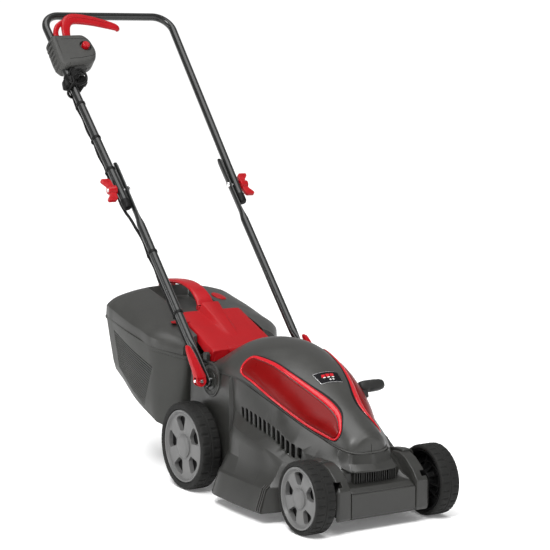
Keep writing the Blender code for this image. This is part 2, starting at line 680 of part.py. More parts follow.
def build_lower_tube(name, side, parent):
    """Lower tube, pressed flat at both ends; the parent empty is on the handle's lower pivot."""
    stations = [(-0.014, 0.0042, 0.0118), (0.030, 0.0042, 0.0118), (0.075, 0.0042, 0.0116),
                (0.100, TUBE_R, TUBE_R), (0.405, TUBE_R, TUBE_R), (0.432, 0.0037, 0.0118),
                (0.578, 0.0037, 0.0118)]
    slope = (LOWER_KNOB_X - LOWER_PIVOT_X) / KNOB_V
    path = [(side * (LOWER_PIVOT_X + slope * v), v, 0) for v, _, _ in stations]
    rows = swept_rows(path, [(a, b) for _, a, b in stations], (0, 0, 1))
    tube = piece(name, loft_mesh(rows, closed=True, smooth=True), "tube_paint", parent)
    solidify(tube, TUBE_WALL)
    for v, radius in ((0, 0.0045), (KNOB_V, 0.0036)):
        cut(tube, rod_mesh(radius, (side * 0.10, v, 0), (side * 0.16, v, 0), 12), parent)


def build_upper_tube(parent):
    """U-shaped upper handle; the parent empty is on the knobs' axis."""
    lean = math.atan(UPPER_SPLAY)
    bend = HANDLE_BEND_R
    centre_v = HANDLE_TOP_V - bend
    centre_x = upper_x(centre_v) - bend / math.cos(lean)
    start = -math.degrees(lean)
    corner = arc((centre_x, centre_v), bend, start, 90, 8)
    leg = [(upper_x(UPPER_LEG_END_V), UPPER_LEG_END_V), (upper_x(0.72), 0.72)]
    half = leg + corner
    points = [(x, v - KNOB_V, 0) for x, v in half] + [(-x, v - KNOB_V, 0) for x, v in reversed(half)]
    rows = swept_rows(points, [(TUBE_R, TUBE_R)] * len(points), (0, 0, 1))
    tube = piece("upper_handle_tube", loft_mesh(rows, closed=True, smooth=True), "tube_paint", parent)
    solidify(tube, TUBE_WALL)
    for side in (-1, 1):
        cut(tube, rod_mesh(0.0036, (side * 0.13, 0, 0), (side * 0.17, 0, 0), 12), parent)


def build_knob_fittings(parent):
    """Bolts through both tubes at the middle joint."""
    for name, side in (("knob_bolt_right", -1), ("knob_bolt_left", 1)):
        head = rod_mesh(0.0075, (side * 0.1235, 0, 0), (side * 0.1274, 0, 0), 16)
        bolt = piece(name, head, "steel", parent)
        join(bolt, rod_mesh(0.0032, (side * 0.1250, 0, 0), (side * 0.1710, 0, 0), 12), parent)


def build_wing_knob(name, side, parent):
    """Two-winged nut; the parent empty is on the bolt's axis."""
    hub = rod_mesh(0.0105, (side * 0.1563, 0, 0), (side * 0.1760, 0, 0), 16)
    knob = piece(name, hub, "red_plastic", parent)
    wings = [(-0.030, 0.1650), (-0.024, 0.1610), (0.000, 0.1590), (0.024, 0.1610), (0.030, 0.1650),
             (0.030, 0.1830), (0.022, 0.1840), (0.010, 0.1740), (-0.010, 0.1740), (-0.022, 0.1840), (-0.030, 0.1830)]
    outline = [(side * x, v) for v, x in wings]
    join(knob, prism_mesh(outline, -0.0045, 0.0045, "Z"), parent)
    cut(knob, rod_mesh(0.0035, (side * 0.150, 0, 0), (side * 0.1715, 0, 0), 12), parent)


def build_pivot_bolt(name, side, parent):
    """Bolt through the deck's boss and the tube, with the cross pin that the cam turns on."""
    bolt = piece(name, rod_mesh(0.0040, (side * 0.1000, 0, 0), (side * 0.1425, 0, 0), 16), "steel", parent)
    join(bolt, rod_mesh(0.0028, (side * 0.1425, -0.0105, 0), (side * 0.1425, 0.0105, 0), 12), parent)
    join(bolt, rod_mesh(0.0085, (side * 0.0985, 0, 0), (side * 0.1025, 0, 0), 6), parent)


def build_cam_lever(name, side, parent):
    """Quick-release lever; the parent empty is on the cross pin, with v and n as on the handle."""
    hub = arc((0, 0), 0.0112, 180, 360, 9)
    outline = [(x * 1.0, z) for x, z in hub]
    outline += [(0.0105, 0.0130), (0.0060, 0.0620), (0.0010, 0.0660), (-0.0035, 0.0620), (-0.0085, 0.0130)]
    lean = HANDLE_ANGLE - math.pi / 2
    mesh = prism_mesh([(side * x, z) for x, z in outline], -0.0090, 0.0090, "Y")
    lever = piece(name, mesh, "red_plastic", parent)
    shear_arm(lever.data, math.tan(-lean))
    cut(lever, box_mesh((-0.0140, -0.0045, -0.0140), (0.0140, 0.0045, 0.0075)), parent)
    cut(lever, rod_mesh(0.0031, (0, -0.02, 0), (0, 0.02, 0), 12), parent)


def shear_arm(mesh, slope):
    """Lean the arm back beside the tube while the hub stays square to its pin."""
    for vertex in mesh.vertices:
        if vertex.co.z > 0.014:
            vertex.co.y += (vertex.co.z - 0.013) * slope


# ---------------------------------------------------------------- switch box

BOX_OUTLINE = [(-.1780, .9360), (-.1740, .9430), (-.0900, .9460), (-.0760, .9280), (-.0700, .8900),
               (-.0800, .8560), (-.0980, .8400), (-.1250, .8340), (-.1690, .8260), (-.1800, .8440),
               (-.1820, .8700), (-.1810, .9050)]
BOX_CAVITY = [(-.1460, .9380), (-.0920, .9415), (-.0800, .9260), (-.0745, .8900), (-.0840, .8590),
              (-.1000, .8445), (-.1250, .8390), (-.1440, .8370)]
BOX_DEPTH = 0.022


def build_switch_box(parent):
    """Two shells that clasp the right leg and hold the switch; v is measured from the knobs."""
    outline = [(x, v - KNOB_V) for x, v in BOX_OUTLINE]
    cavity = [(x, v - KNOB_V) for x, v in BOX_CAVITY]
    leg = rod_mesh(TUBE_R + 0.0004, (-upper_x(0.78), 0.78 - KNOB_V, 0), (-upper_x(0.97), 0.97 - KNOB_V, 0), 16)
    for name, low, high in (("switch_box_front", 0.0002, BOX_DEPTH), ("switch_box_back", -BOX_DEPTH, -0.0002)):
        half = piece(name, prism_mesh(outline, low, high, "Z"), "box_plastic", parent)
        inner_low, inner_high = (-0.01, high - 0.0025) if high > 0 else (low + 0.0025, 0.01)
        cut(half, prism_mesh(cavity, inner_low, inner_high, "Z"), parent)
        cut(half, leg.copy(), parent)
        if high > 0:
            cut(half, rod_mesh(0.0096, (-.0985, .9080 - KNOB_V, 0), (-.0985, .9080 - KNOB_V, 0.03), 20), parent)
            cut(half, box_mesh((-0.1440, .9300 - KNOB_V, 0.0040), (-0.1200, .9560 - KNOB_V, 0.0190)), parent)
    inlet = piece("mains_inlet", box_mesh((-0.1420, .8080 - KNOB_V, -0.0160), (-0.1160, .8290 - KNOB_V, -0.0010)),
                  "black_plastic", parent)
    join(inlet, rod_mesh(0.0085, (-0.1290, .8085 - KNOB_V, -0.0085), (-0.1290, .7780 - KNOB_V, -0.0085), 16), parent)
    piece("microswitch", box_mesh((-0.1200, .8700 - KNOB_V, -0.0120), (-0.0900, .8850 - KNOB_V, 0.0060)),
          "black_plastic", parent)


def build_lock_button(parent):
    """Safety button; the parent empty is on the button's axis at the box's face."""
    button = piece("lock_button", rod_mesh(0.0090, (0, 0, -0.0080), (0, 0, 0.0075), 20), "red_plastic", parent)
    join(button, rod_mesh(0.0120, (0, 0, -0.0090), (0, 0, -0.0055), 20), parent)


def build_switch_lever(parent):
    """Start lever that is drawn back to the bar; the parent empty is on its hinge in the box."""
    path = [(-0.1320, 0.9180, 0.0110), (-0.1320, 0.9400, 0.0120), (-0.1320, 0.9620, 0.0190),
            (-0.1290, 0.9820, 0.0240), (-0.1190, 0.9950, 0.0260), (-0.1030, 1.0010, 0.0260),
            (-0.0600, 0.9960, 0.0240), (-0.0150, 0.9830, 0.0220), (0.0020, 0.9770, 0.0215)]
    path = [Vector((x, v - LEVER_HINGE_V, n - LEVER_HINGE_N)) for x, v, n in path]
    half_wide = [0.0095, 0.0095, 0.0100, 0.0115, 0.0130, 0.0135, 0.0125, 0.0100, 0.0070]
    rows = []
    for i, centre in enumerate(path):
        ahead = (path[min(i + 1, len(path) - 1)] - path[max(i - 1, 0)]).normalized()
        out = Vector((0, 0, 1))
        side = ahead.cross(out).normalized()
        lift = side.cross(ahead)
        w, t = half_wide[i], 0.0048
        rows.append([centre + side * a + lift * b for a, b in
                     ((-w, -t * 0.5), (-w * 0.75, -t), (w * 0.75, -t), (w, -t * 0.5),
                      (w, t * 0.5), (w * 0.75, t), (-w * 0.75, t), (-w, t * 0.5))])
    lever = piece("switch_lever", loft_mesh(rows, closed=True, cap_first=True, cap_last=True, smooth=True),
                  "red_plastic", parent)
    return lever


LEVER_HINGE_V = 0.9200
LEVER_HINGE_N = 0.0110


# ---------------------------------------------------------------- flap and catcher

def build_flap(parent):
    """Spring flap over the chute; the parent empty is on its pin."""
    def top(y):
        return 0.2820 + (y - 0.470) * 0.417

    rows = []
    for y in (0.4605, 0.470, 0.505, 0.540, 0.575, 0.609):
        rib = max(0.0, (y - 0.503) / 0.106)
        rib_half = 0.010 + 0.014 * rib
        skirt = 0.0265 - 0.022 * max(0.0, (y - 0.4605) / 0.1485)
        level = top(max(y, 0.467))
        half = [(FLAP_HALF_WIDTH - 0.004 * rib, level - skirt), (FLAP_HALF_WIDTH - 0.001 - 0.004 * rib, level),
                (rib_half + 0.008, level), (rib_half, level + 0.014 * rib), (0.0, level + 0.017 * rib)]
        left = [(-x, y, z) for x, z in half]
        right = [(x, y, z) for x, z in reversed(half[:-1])]
        rows.append([Vector(p) - Vector((0, FLAP_PIN_Y, FLAP_PIN_Z)) for p in left + right])
    flap = piece("rear_flap", loft_mesh(rows, closed=False, cap_first=True), "red_plastic", parent)
    solidify(flap, 0.0025)
    cut(flap, rod_mesh(0.0034, (-0.1, 0, 0), (0.1, 0, 0), 12), parent)


def catcher_bottom(y):
    return 0.080 + (y - 0.545) * 0.475


def catcher_crease(y):
    return 0.283 + (y - 0.510) * 0.223


def build_catcher_lower(parent):
    """Box of the catcher: open at the top, with the inlet in its front wall."""
    columns = [
        [(0, .545), (0, .532, .094), (0, .524, .180), (0, .520, .262)],
        [(.085, .545), (.088, .532, .094), (.090, .524, .180), (.090, .520, .262)],
        [(.105, .552), (.116, .540, .097), (.118, .530, .180), (.116, .523, .262)],
        [(.128, .595), (.146, .590, .115), (.152, .588, .190), (.155, .586, .275)],
        [(.136, .670), (.152, .675, .152), (.158, .680, .220), (.162, .685, .295)],
        [(.130, .755), (.146, .775, .198), (.152, .788, .255), (.156, .800, .318)],
        [(.100, .768), (.110, .790, .205), (.114, .804, .260), (.118, .817, .3215)],
        [(0, .770), (0, .793, .206), (0, .808, .260), (0, .822, .3225)],
    ]
    rings = [[(x, y, catcher_bottom(y)) for x, y in (column[0] for column in columns)]]
    rings += [[column[k] for column in columns] for k in (1, 2, 3)]
    lower = piece("catcher_lower", loft_mesh([mirrored(ring) for ring in rings], closed=True, cap_first=True),
                  "deck_plastic", parent)
    solidify(lower, CATCHER_WALL)
    cut(lower, box_mesh((-0.088, 0.500, 0.135), (0.088, 0.560, 0.232)), parent)


def build_catcher_upper(parent):
    """Lid of the catcher, with the notch that the flap closes and the hollow below the handle."""
    stations = [(.523, .116, .262, 0.0), (.550, .135, .268, 0.0), (.586, .155, .275, 0.0),
                (.640, .159, .286, 0.0), (.660, .160, .290, 0.0), (.700, .162, .298, 0.0),
                (.760, .160, .310, 0.0), (.790, .158, .316, 0.001), (.808, .150, .319, .006),
                (.822, .118, .3225, .022)]
    rows = []
    for y, half_width, rim, fall in stations:
        crease = catcher_crease(y) - fall
        dip = 0.026 if 0.655 < y < 0.795 else 0.0
        half = [(half_width, rim + 0.0025), (half_width - 0.003, crease - 0.006), (half_width * 0.90, crease + 0.006),
                (half_width * 0.65, crease + 0.019), (half_width * 0.42, crease + 0.0255),
                (half_width * 0.34, crease + 0.0270 - dip), (0.0, crease + 0.0300 - dip)]
        rows.append(mirrored_section([(x, y, z) for x, z in half]))
    upper = piece("catcher_upper", loft_mesh(rows, closed=False, cap_first=True, cap_last=True),
                  "hood_plastic", parent)
    solidify(upper, CATCHER_WALL)
    cut(upper, box_mesh((-0.087, 0.400, 0.200), (0.087, 0.6170, 0.450)), parent)


def build_catcher_handle(parent):
    """Arched grip across the hollow in the lid."""
    path = [(0.6290, 0.3480), (0.6400, 0.3620), (0.6650, 0.3780), (0.7000, 0.3880), (0.7350, 0.3900),
            (0.7700, 0.3880), (0.7960, 0.3855), (0.8050, 0.3835)]
    rows = swept_rows([(0, y, z) for y, z in path], [(0.0045, 0.018)] * len(path), (1, 0, 0), sides=8)
    piece("catcher_handle", loft_mesh(rows, closed=True, cap_first=True, cap_last=True, smooth=True),
          "red_plastic", parent)


# ---------------------------------------------------------------- cables

CABLE_D = 0.0065


def build_cables(deck_parent, lower_parent, upper_parent):
    """Motor cable from the box down the right leg into the deck, and the mains tail with its plug."""
    upper = [(-.1700, .8250, -.0120), (-.1700, .8000, -.0135), (-.1690, .7600, -.0140), (-.1630, .6000, -.0140),
             (-.1580, .5400, -.0150), (-.1520, .4900, -.0190), (-.1460, .4500, -.0210)]
    cable("upper_cable", upper_parent, [(x, v - KNOB_V, n) for x, v, n in upper], CABLE_D)
    lower = [(-.1455, .4470, -.0211), (-.1380, .4000, -.0180), (-.1370, .3600, -.0150), (-.1360, .2200, -.0150),
             (-.1330, .1300, -.0150), (-.1270, .0920, -.0170), (-.1180, .0720, -.0200), (-.1090, .0660, -.0210)]
    cable("lower_cable", lower_parent, lower, CABLE_D)
    inner = [(-.10810, .46497, .26283), (-.09955, .46179, .2580), (-.0900, .4560, .2550), (-.0820, .4470, .2545),
             (-.0780, .4300, .2560), (-.0720, .4000, .2555), (-.0560, .3500, .2500), (-.0420, .2900, .2430),
             (-.0250, .2250, .2430)]
    cable("deck_cable", deck_parent, inner, CABLE_D)


def main():
    assembly = empty("mower", (0, -MODEL_CENTRE_Y, 0))
    build_deck(assembly)
    build_ramp(assembly)
    build_hood(assembly)
    build_inserts(assembly)
    build_badge(assembly)
    build_motor(assembly)
    build_rotor(empty("rotor_axis", (0, MOTOR_Y, 0), assembly))

    pivots = {"front": crank_pivot(0, FRONT_WHEEL_R), "rear": crank_pivot(WHEELBASE, REAR_WHEEL_R)}
    wheels = {"front": (0, FRONT_WHEEL_R, FRONT_WHEEL_X, 0.0604), "rear": (WHEELBASE, REAR_WHEEL_R, REAR_WHEEL_X, 0.0756)}
    for end, (wheel_y, radius, wheel_x, rim) in wheels.items():
        axle_line = empty(end + "_axle_line", pivots[end], assembly)
        build_axle(end + "_axle", axle_line, wheel_x)
        offset = (CRANK_LENGTH * math.cos(CRANK_REST), CRANK_LENGTH * math.sin(CRANK_REST))
        for hand, side in (("right", -1), ("left", 1)):
            centre = empty("_".join((end, hand, "wheel_centre")), (side * wheel_x, *offset), axle_line)
            build_wheel(end + "_" + hand, centre, side, radius, rim)
    build_axle_clamps(assembly)
    tip = Vector((0, LUG_LENGTH * math.cos(LUG_ANGLE), LUG_LENGTH * math.sin(LUG_ANGLE)))
    rear_pin = Vector(pivots["rear"]) + tip
    front_pin = Vector(pivots["front"]) + tip
    drop = front_pin.z - rear_pin.z
    lever_foot = Vector((0, LEVER_Y - LEVER_FOOT * math.sin(LEVER_LEAN), LEVER_Z - LEVER_FOOT * math.cos(LEVER_LEAN)))
    build_link(empty("link_pin", rear_pin, assembly), rear_pin.y - front_pin.y, drop,
               (lever_foot.y - rear_pin.y, lever_foot.z - rear_pin.z))
    build_height_lever(empty("height_lever_pivot", (0, LEVER_Y, LEVER_Z), assembly, (-LEVER_LEAN, 0, 0)))

    handle = empty("handle_pivot", (0, PIVOT_Y, PIVOT_Z), assembly, (HANDLE_ANGLE, 0, 0))
    knobs = empty("handle_knobs", (0, KNOB_V, 0), handle)
    build_upper_tube(knobs)
    build_knob_fittings(knobs)
    for hand, side in (("right", -1), ("left", 1)):
        build_lower_tube("lower_tube_" + hand, side, handle)
        build_wing_knob("wing_knob_" + hand, side, knobs)
        build_pivot_bolt("pivot_bolt_" + hand, side, empty("bolt_" + hand, (0, PIVOT_Y, PIVOT_Z), assembly))
        build_cam_lever("cam_lever_" + hand, side,
                        empty("cam_" + hand, (side * 0.1425, PIVOT_Y, PIVOT_Z), assembly))
    build_switch_box(knobs)
    build_lock_button(empty("button_axis", (-.0985, .9080 - KNOB_V, BOX_DEPTH), knobs))
    build_switch_lever(empty("switch_hinge", (0, LEVER_HINGE_V - KNOB_V, LEVER_HINGE_N), knobs))

    build_flap(empty("flap_pin_line", (0, FLAP_PIN_Y, FLAP_PIN_Z), assembly))
    piece("flap_hinge_pin", rod_mesh(0.0030, (-0.0895, FLAP_PIN_Y, FLAP_PIN_Z), (0.0895, FLAP_PIN_Y, FLAP_PIN_Z), 12),
          "steel", assembly)
    catcher = empty("catcher_seat", (0, 0, 0), assembly)
    build_catcher_lower(catcher)
    build_catcher_upper(catcher)
    build_catcher_handle(catcher)
    build_cables(assembly, handle, knobs)


clear_scene()
PARTS = collection("rotary_mower")
GUIDES = collection("guides")
main()
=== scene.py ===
"""Looks of the corded rotary mower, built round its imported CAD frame.

Body pieces are drawn with y measured from the front axle and handle pieces in
(x, v, n), where v runs up the handle from its lower pivot and n stands off its
front. Both are moved into the row frame by the joints' own positions.
"""
import json
import math

import bmesh
import bpy
import numpy as np
from mathutils import Matrix, Vector


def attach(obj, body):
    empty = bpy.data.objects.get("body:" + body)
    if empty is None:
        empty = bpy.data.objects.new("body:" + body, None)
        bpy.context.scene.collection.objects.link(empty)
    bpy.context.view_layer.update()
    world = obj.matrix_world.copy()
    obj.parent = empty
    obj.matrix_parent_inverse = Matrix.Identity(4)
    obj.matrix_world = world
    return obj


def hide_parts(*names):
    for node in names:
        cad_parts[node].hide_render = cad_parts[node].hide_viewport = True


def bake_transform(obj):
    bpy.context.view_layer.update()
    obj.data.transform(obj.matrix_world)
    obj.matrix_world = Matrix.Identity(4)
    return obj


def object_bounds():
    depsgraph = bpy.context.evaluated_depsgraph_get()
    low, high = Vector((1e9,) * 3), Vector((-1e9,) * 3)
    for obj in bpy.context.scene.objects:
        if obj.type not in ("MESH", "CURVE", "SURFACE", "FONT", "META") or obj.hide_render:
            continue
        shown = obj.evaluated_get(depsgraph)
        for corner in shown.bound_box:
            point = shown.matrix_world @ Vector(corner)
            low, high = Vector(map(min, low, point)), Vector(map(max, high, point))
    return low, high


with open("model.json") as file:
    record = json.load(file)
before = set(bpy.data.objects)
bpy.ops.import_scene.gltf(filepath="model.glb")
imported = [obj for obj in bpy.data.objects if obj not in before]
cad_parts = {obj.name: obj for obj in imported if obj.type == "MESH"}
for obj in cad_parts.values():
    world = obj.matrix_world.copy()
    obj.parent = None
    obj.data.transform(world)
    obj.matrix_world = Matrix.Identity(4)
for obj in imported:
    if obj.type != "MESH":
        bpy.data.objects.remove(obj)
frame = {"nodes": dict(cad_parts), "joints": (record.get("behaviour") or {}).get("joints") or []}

CAD_BOX = [list(corner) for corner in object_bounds()]
JOINTS = {joint["name"]: joint for joint in frame["joints"]}


def joint_place(name):
    return Vector(JOINTS[name]["pos_m"])


FRONT_AXLE_Y = joint_place("front_right_wheel_spin").y
PIVOT = joint_place("lower_handle_fold")
KNOB_LINE = joint_place("upper_handle_fold")
HANDLE_TILT = math.atan2(KNOB_LINE.z - PIVOT.z, KNOB_LINE.y - PIVOT.y)
KNOB_V = (KNOB_LINE - PIVOT).length
BODY = Matrix.Translation((0, FRONT_AXLE_Y, 0))
HANDLE = Matrix.Translation((0, PIVOT.y, PIVOT.z)) @ Matrix.Rotation(HANDLE_TILT, 4, "X")
PIVOT_Y = PIVOT.y - FRONT_AXLE_Y
PIVOT_Z = PIVOT.z
SIDES = (("right", -1), ("left", 1))


# ------------------------------------------------------------ materials

LOOKS = {}


class Graph:
    """Short calls for one material's nodes."""

    def __init__(self, name):
        self.item = bpy.data.materials.new(name)
        self.item.use_nodes = True
        self.nodes = self.item.node_tree.nodes
        self.links = self.item.node_tree.links
        self.shader = self.nodes["Principled BSDF"]
        self.place = self.nodes.new("ShaderNodeTexCoord").outputs["Object"]

    def stretched(self, scale):
        node = self.nodes.new("ShaderNodeMapping")
        node.inputs["Scale"].default_value = scale
        self.links.new(self.place, node.inputs["Vector"])
        return node.outputs["Vector"]

    def noise(self, scale, detail=2.0, vector=None, roughness=0.5):
        node = self.nodes.new("ShaderNodeTexNoise")
        node.inputs["Scale"].default_value = scale
        node.inputs["Detail"].default_value = detail
        node.inputs["Roughness"].default_value = roughness
        self.links.new(vector or self.place, node.inputs["Vector"])
        return node.outputs["Fac"]

    def cells(self, scale, vector=None):
        node = self.nodes.new("ShaderNodeTexVoronoi")
        node.inputs["Scale"].default_value = scale
        self.links.new(vector or self.place, node.inputs["Vector"])
        return node.outputs["Distance"]

    def bands(self, scale, axis="Z", distortion=0.0):
        node = self.nodes.new("ShaderNodeTexWave")
        node.bands_direction = axis
        node.inputs["Scale"].default_value = scale
        node.inputs["Distortion"].default_value = distortion
        self.links.new(self.place, node.inputs["Vector"])
        return node.outputs["Fac"]

    def ramp(self, source, stops):
        node = self.nodes.new("ShaderNodeValToRGB")
        for k, (spot, colour) in enumerate(stops):
            stop = node.color_ramp.elements[k] if k < 2 else node.color_ramp.elements.new(spot)
            stop.position = spot
            stop.color = (*colour, 1.0)
        self.links.new(source, node.inputs["Fac"])
        return node.outputs["Color"]

    def spread(self, source, low, high, start=0.3, end=0.7):
        node = self.nodes.new("ShaderNodeMapRange")
        for socket, value in zip(("From Min", "From Max", "To Min", "To Max"), (start, end, low, high)):
            node.inputs[socket].default_value = value
        self.links.new(source, node.inputs["Value"])
        return node.outputs["Result"]

    def add(self, one, two, operation="ADD"):
        node = self.nodes.new("ShaderNodeMath")
        node.operation = operation
        for socket, value in zip(node.inputs, (one, two)):
            if isinstance(value, float):
                socket.default_value = value
            else:
                self.links.new(value, socket)
        return node.outputs["Value"]

    def bump(self, height, distance, strength=1.0):
        node = self.nodes.new("ShaderNodeBump")
        node.inputs["Distance"].default_value = distance
        node.inputs["Strength"].default_value = strength
        self.links.new(height, node.inputs["Height"])
        self.links.new(node.outputs["Normal"], self.shader.inputs["Normal"])

    def set(self, **values):
        for name, value in values.items():
            socket = self.shader.inputs[name.replace("_", " ")]
            if isinstance(value, (int, float, tuple)):
                socket.default_value = value
            else:
                self.links.new(value, socket)


def shade(colour, factor):
    return tuple(min(1.0, c * factor) for c in colour)


def moulded(name, colour, roughness, vary=0.10, grain=1500.0, depth=0.00008, strength=0.35, spec=0.20,
            coat=0.0, mottle=30.0):
    """Injection-moulded plastic: spark-eroded grain, faint flow mottling and uneven gloss."""
    g = Graph(name)
    flow = g.noise(mottle, 4.0)
    broad = g.noise(mottle / 6, 2.0)
    tone = g.add(g.add(flow, 0.6, "MULTIPLY"), g.add(broad, 0.4, "MULTIPLY"))
    stops = [(0.35, shade(colour, 1 - vary)), (0.65, shade(colour, 1 + vary))]
    g.set(Base_Color=g.ramp(tone, stops), Roughness=g.spread(flow, roughness - 0.04, roughness + 0.06),
          Specular_IOR_Level=spec, Coat_Weight=coat, Coat_Roughness=0.08)
    height = g.add(g.cells(grain), g.add(g.noise(grain * 0.6, 3.0), 0.8, "MULTIPLY"))
    g.bump(height, depth, strength)
    LOOKS[name] = g.item


def metal(name, colour, roughness, scale=(60, 60, 900), vary=0.18, depth=0.00003):
    """Drawn or turned metal: fine lines one way, with darker handling marks."""
    g = Graph(name)
    lines = g.noise(1.0, 3.0, g.stretched(scale))
    marks = g.noise(45.0, 4.0)
    tone = g.add(g.add(lines, 0.5, "MULTIPLY"), g.add(marks, 0.5, "MULTIPLY"))
    g.set(Base_Color=g.ramp(tone, [(0.35, shade(colour, 1 - vary)), (0.65, shade(colour, 1 + vary))]),
          Metallic=1.0, Roughness=g.spread(tone, roughness - 0.08, roughness + 0.14))
    g.bump(lines, depth, 0.5)
    LOOKS[name] = g.item


def rubber(name, colour):
    """Tyre: matt moulded rubber with a little pale dust in its coarse grain."""
    g = Graph(name)
    coarse = g.noise(220.0, 5.0, roughness=0.65)
    broad = g.noise(25.0, 3.0)
    tone = g.add(g.add(coarse, 0.5, "MULTIPLY"), g.add(broad, 0.5, "MULTIPLY"))
    g.set(Base_Color=g.ramp(tone, [(0.35, shade(colour, 0.75)), (0.58, shade(colour, 1.15)),
                                   (0.80, shade(colour, 1.9))]),
          Roughness=g.spread(coarse, 0.62, 0.85), Specular_IOR_Level=0.18)
    g.bump(g.add(coarse, g.cells(900.0)), 0.0002, 0.35)
    LOOKS[name] = g.item


def banded(name, colour, pitch, axis="Z", metallic=0.8, roughness=0.45):
    """Stacked laminations or wound wire: fine bands with tonal drift."""
    g = Graph(name)
    lines = g.bands(1.0 / (pitch * 6.2832) * 2, axis, 0.3)
    drift = g.noise(70.0, 3.0)
    tone = g.add(g.add(lines, 0.6, "MULTIPLY"), g.add(drift, 0.4, "MULTIPLY"))
    g.set(Base_Color=g.ramp(tone, [(0.2, shade(colour, 0.55)), (0.8, shade(colour, 1.2))]),
          Metallic=metallic, Roughness=g.spread(drift, roughness - 0.1, roughness + 0.1))
    g.bump(lines, 0.0002, 0.6)
    LOOKS[name] = g.item


def powder(name, colour, roughness):
    """Powder-coated steel tube: orange peel under a satin film with a fine metallic fleck."""
    g = Graph(name)
    peel = g.noise(420.0, 2.0)
    fleck = g.cells(5200.0)
    broad = g.noise(14.0, 3.0)
    tone = g.add(g.add(broad, 0.9, "MULTIPLY"), g.add(fleck, 0.1, "MULTIPLY"))
    g.set(Base_Color=g.ramp(tone, [(0.25, shade(colour, 0.85)), (0.60, shade(colour, 1.15)),
                                   (0.85, shade(colour, 1.25))]),
          Roughness=g.spread(broad, roughness - 0.02, roughness + 0.03), Specular_IOR_Level=0.25,
          Coat_Weight=0.35, Coat_Roughness=0.12)
    g.bump(peel, 0.00002, 0.06)
    LOOKS[name] = g.item


GREY = (0.027, 0.027, 0.025)
moulded("deck_plastic", (0.0180, 0.0180, 0.0165), 0.36, grain=1300.0, strength=0.3, spec=0.38)
moulded("hood_plastic", GREY, 0.37, grain=1500.0, strength=0.22, spec=0.38)
moulded("catcher_plastic", (0.0265, 0.0270, 0.0245), 0.42, grain=1200.0, strength=0.3, spec=0.28)
moulded("red_plastic", (0.300, 0.0015, 0.005), 0.38, vary=0.07, grain=1700.0, strength=0.12, coat=0.10)
moulded("flap_red", (0.270, 0.0010, 0.0035), 0.46, vary=0.06, grain=1500.0, strength=0.25)
moulded("insert_red", (0.120, 0.0001, 0.0002), 0.30, vary=0.06, grain=2400.0, strength=0.04, spec=0.12)
# lighter, pinker copy of the insert's red: on the insert rims it is a painted highlight; the badge's red
# stripes use it as their own colour
moulded("insert_rim", (0.380, 0.0040, 0.010), 0.24, vary=0.06, grain=2400.0, strength=0.05, coat=0.35)
moulded("box_plastic", (0.042, 0.042, 0.040), 0.50, vary=0.08, grain=1600.0, strength=0.35)
moulded("hub_plastic", (0.105, 0.105, 0.104), 0.33, vary=0.08, grain=1700.0, strength=0.2)
moulded("black_plastic", (0.004, 0.004, 0.004), 0.45, vary=0.2, grain=1500.0, strength=0.3, spec=0.12)
moulded("grip_plastic", (0.016, 0.016, 0.0155), 0.50, vary=0.12, grain=1300.0, strength=0.4)
moulded("cable", (0.004, 0.004, 0.004), 0.42, vary=0.2, grain=900.0, strength=0.15, spec=0.12, mottle=90.0)
moulded("badge", (0.003, 0.003, 0.004), 0.50, vary=0.2, grain=2600.0, strength=0.05, spec=0.10)
moulded("badge_white", (0.620, 0.600, 0.580), 0.35, vary=0.05, grain=2600.0, strength=0.05)
rubber("tyre", (0.0085, 0.0085, 0.0080))
powder("tube_paint", (0.0070, 0.0076, 0.0073), 0.28)
metal("steel", (0.520, 0.520, 0.530), 0.28)
metal("bright_steel", (0.720, 0.720, 0.720), 0.22)
metal("blade_steel", (0.260, 0.260, 0.270), 0.42, scale=(700, 60, 60), vary=0.3)
banded("lamination", (0.230, 0.215, 0.205), 0.0007)
banded("copper", (0.640, 0.270, 0.130), 0.0009, metallic=1.0, roughness=0.35)


# ------------------------------------------------------------ mesh helpers

def mesh_of(work):
    bmesh.ops.remove_doubles(work, verts=work.verts, dist=0.00001)
    bmesh.ops.recalc_face_normals(work, faces=work.faces)
    mesh = bpy.data.meshes.new("piece")
    work.to_mesh(mesh)
    work.free()
    return mesh


def loft(rows, closed=False, cap_first=False, cap_last=False):
    """Faces between rows of points of one length."""
    work = bmesh.new()
    grid = [[work.verts.new(point) for point in row] for row in rows]
    count = len(grid[0])
    for lower, upper in zip(grid, grid[1:]):
        for i in range(count if closed else count - 1):
            j = (i + 1) % count
            work.faces.new((lower[i], lower[j], upper[j], upper[i]))
    if cap_first:
        work.faces.new(grid[0])
    if cap_last:
        work.faces.new(grid[-1])
    return mesh_of(work)


def joined(*meshes):
    work = bmesh.new()
    for mesh in meshes:
        work.from_mesh(mesh)
    result = bpy.data.meshes.new("joined")
    work.to_mesh(result)
    work.free()
    return result


def moved(mesh, matrix):
    copy = mesh.copy()
    copy.transform(matrix)
    if matrix.determinant() < 0:
        copy.flip_normals()
    return copy


def spline(points, steps=6, closed=False):
    """Points along the smooth curve through the given points."""
    points = [Vector(p) for p in points]
    if closed:
        ends = [points[-1]] + points + points[:2]
    else:
        ends = [2 * points[0] - points[1]] + points + [2 * points[-1] - points[-2]]
    result = []
    for a, b, c, d in zip(ends, ends[1:], ends[2:], ends[3:]):
        for k in range(steps):
            t = k / steps
            result.append(0.5 * (2 * b + (c - a) * t + (2 * a - 5 * b + 4 * c - d) * t ** 2
                                 + (3 * b - a - 3 * c + d) * t ** 3))
    return result if closed else result + [points[-1]]


def even(points, step):
    """The same line with points at an even step."""
    points = [Vector(p) for p in points]
    reach = np.concatenate([[0.0], np.cumsum([(b - a).length for a, b in zip(points, points[1:])])])
    marks = np.linspace(0.0, reach[-1], max(2, round(reach[-1] / step) + 1))
    return [Vector([float(np.interp(m, reach, [p[i] for p in points])) for i in range(3)]) for m in marks]


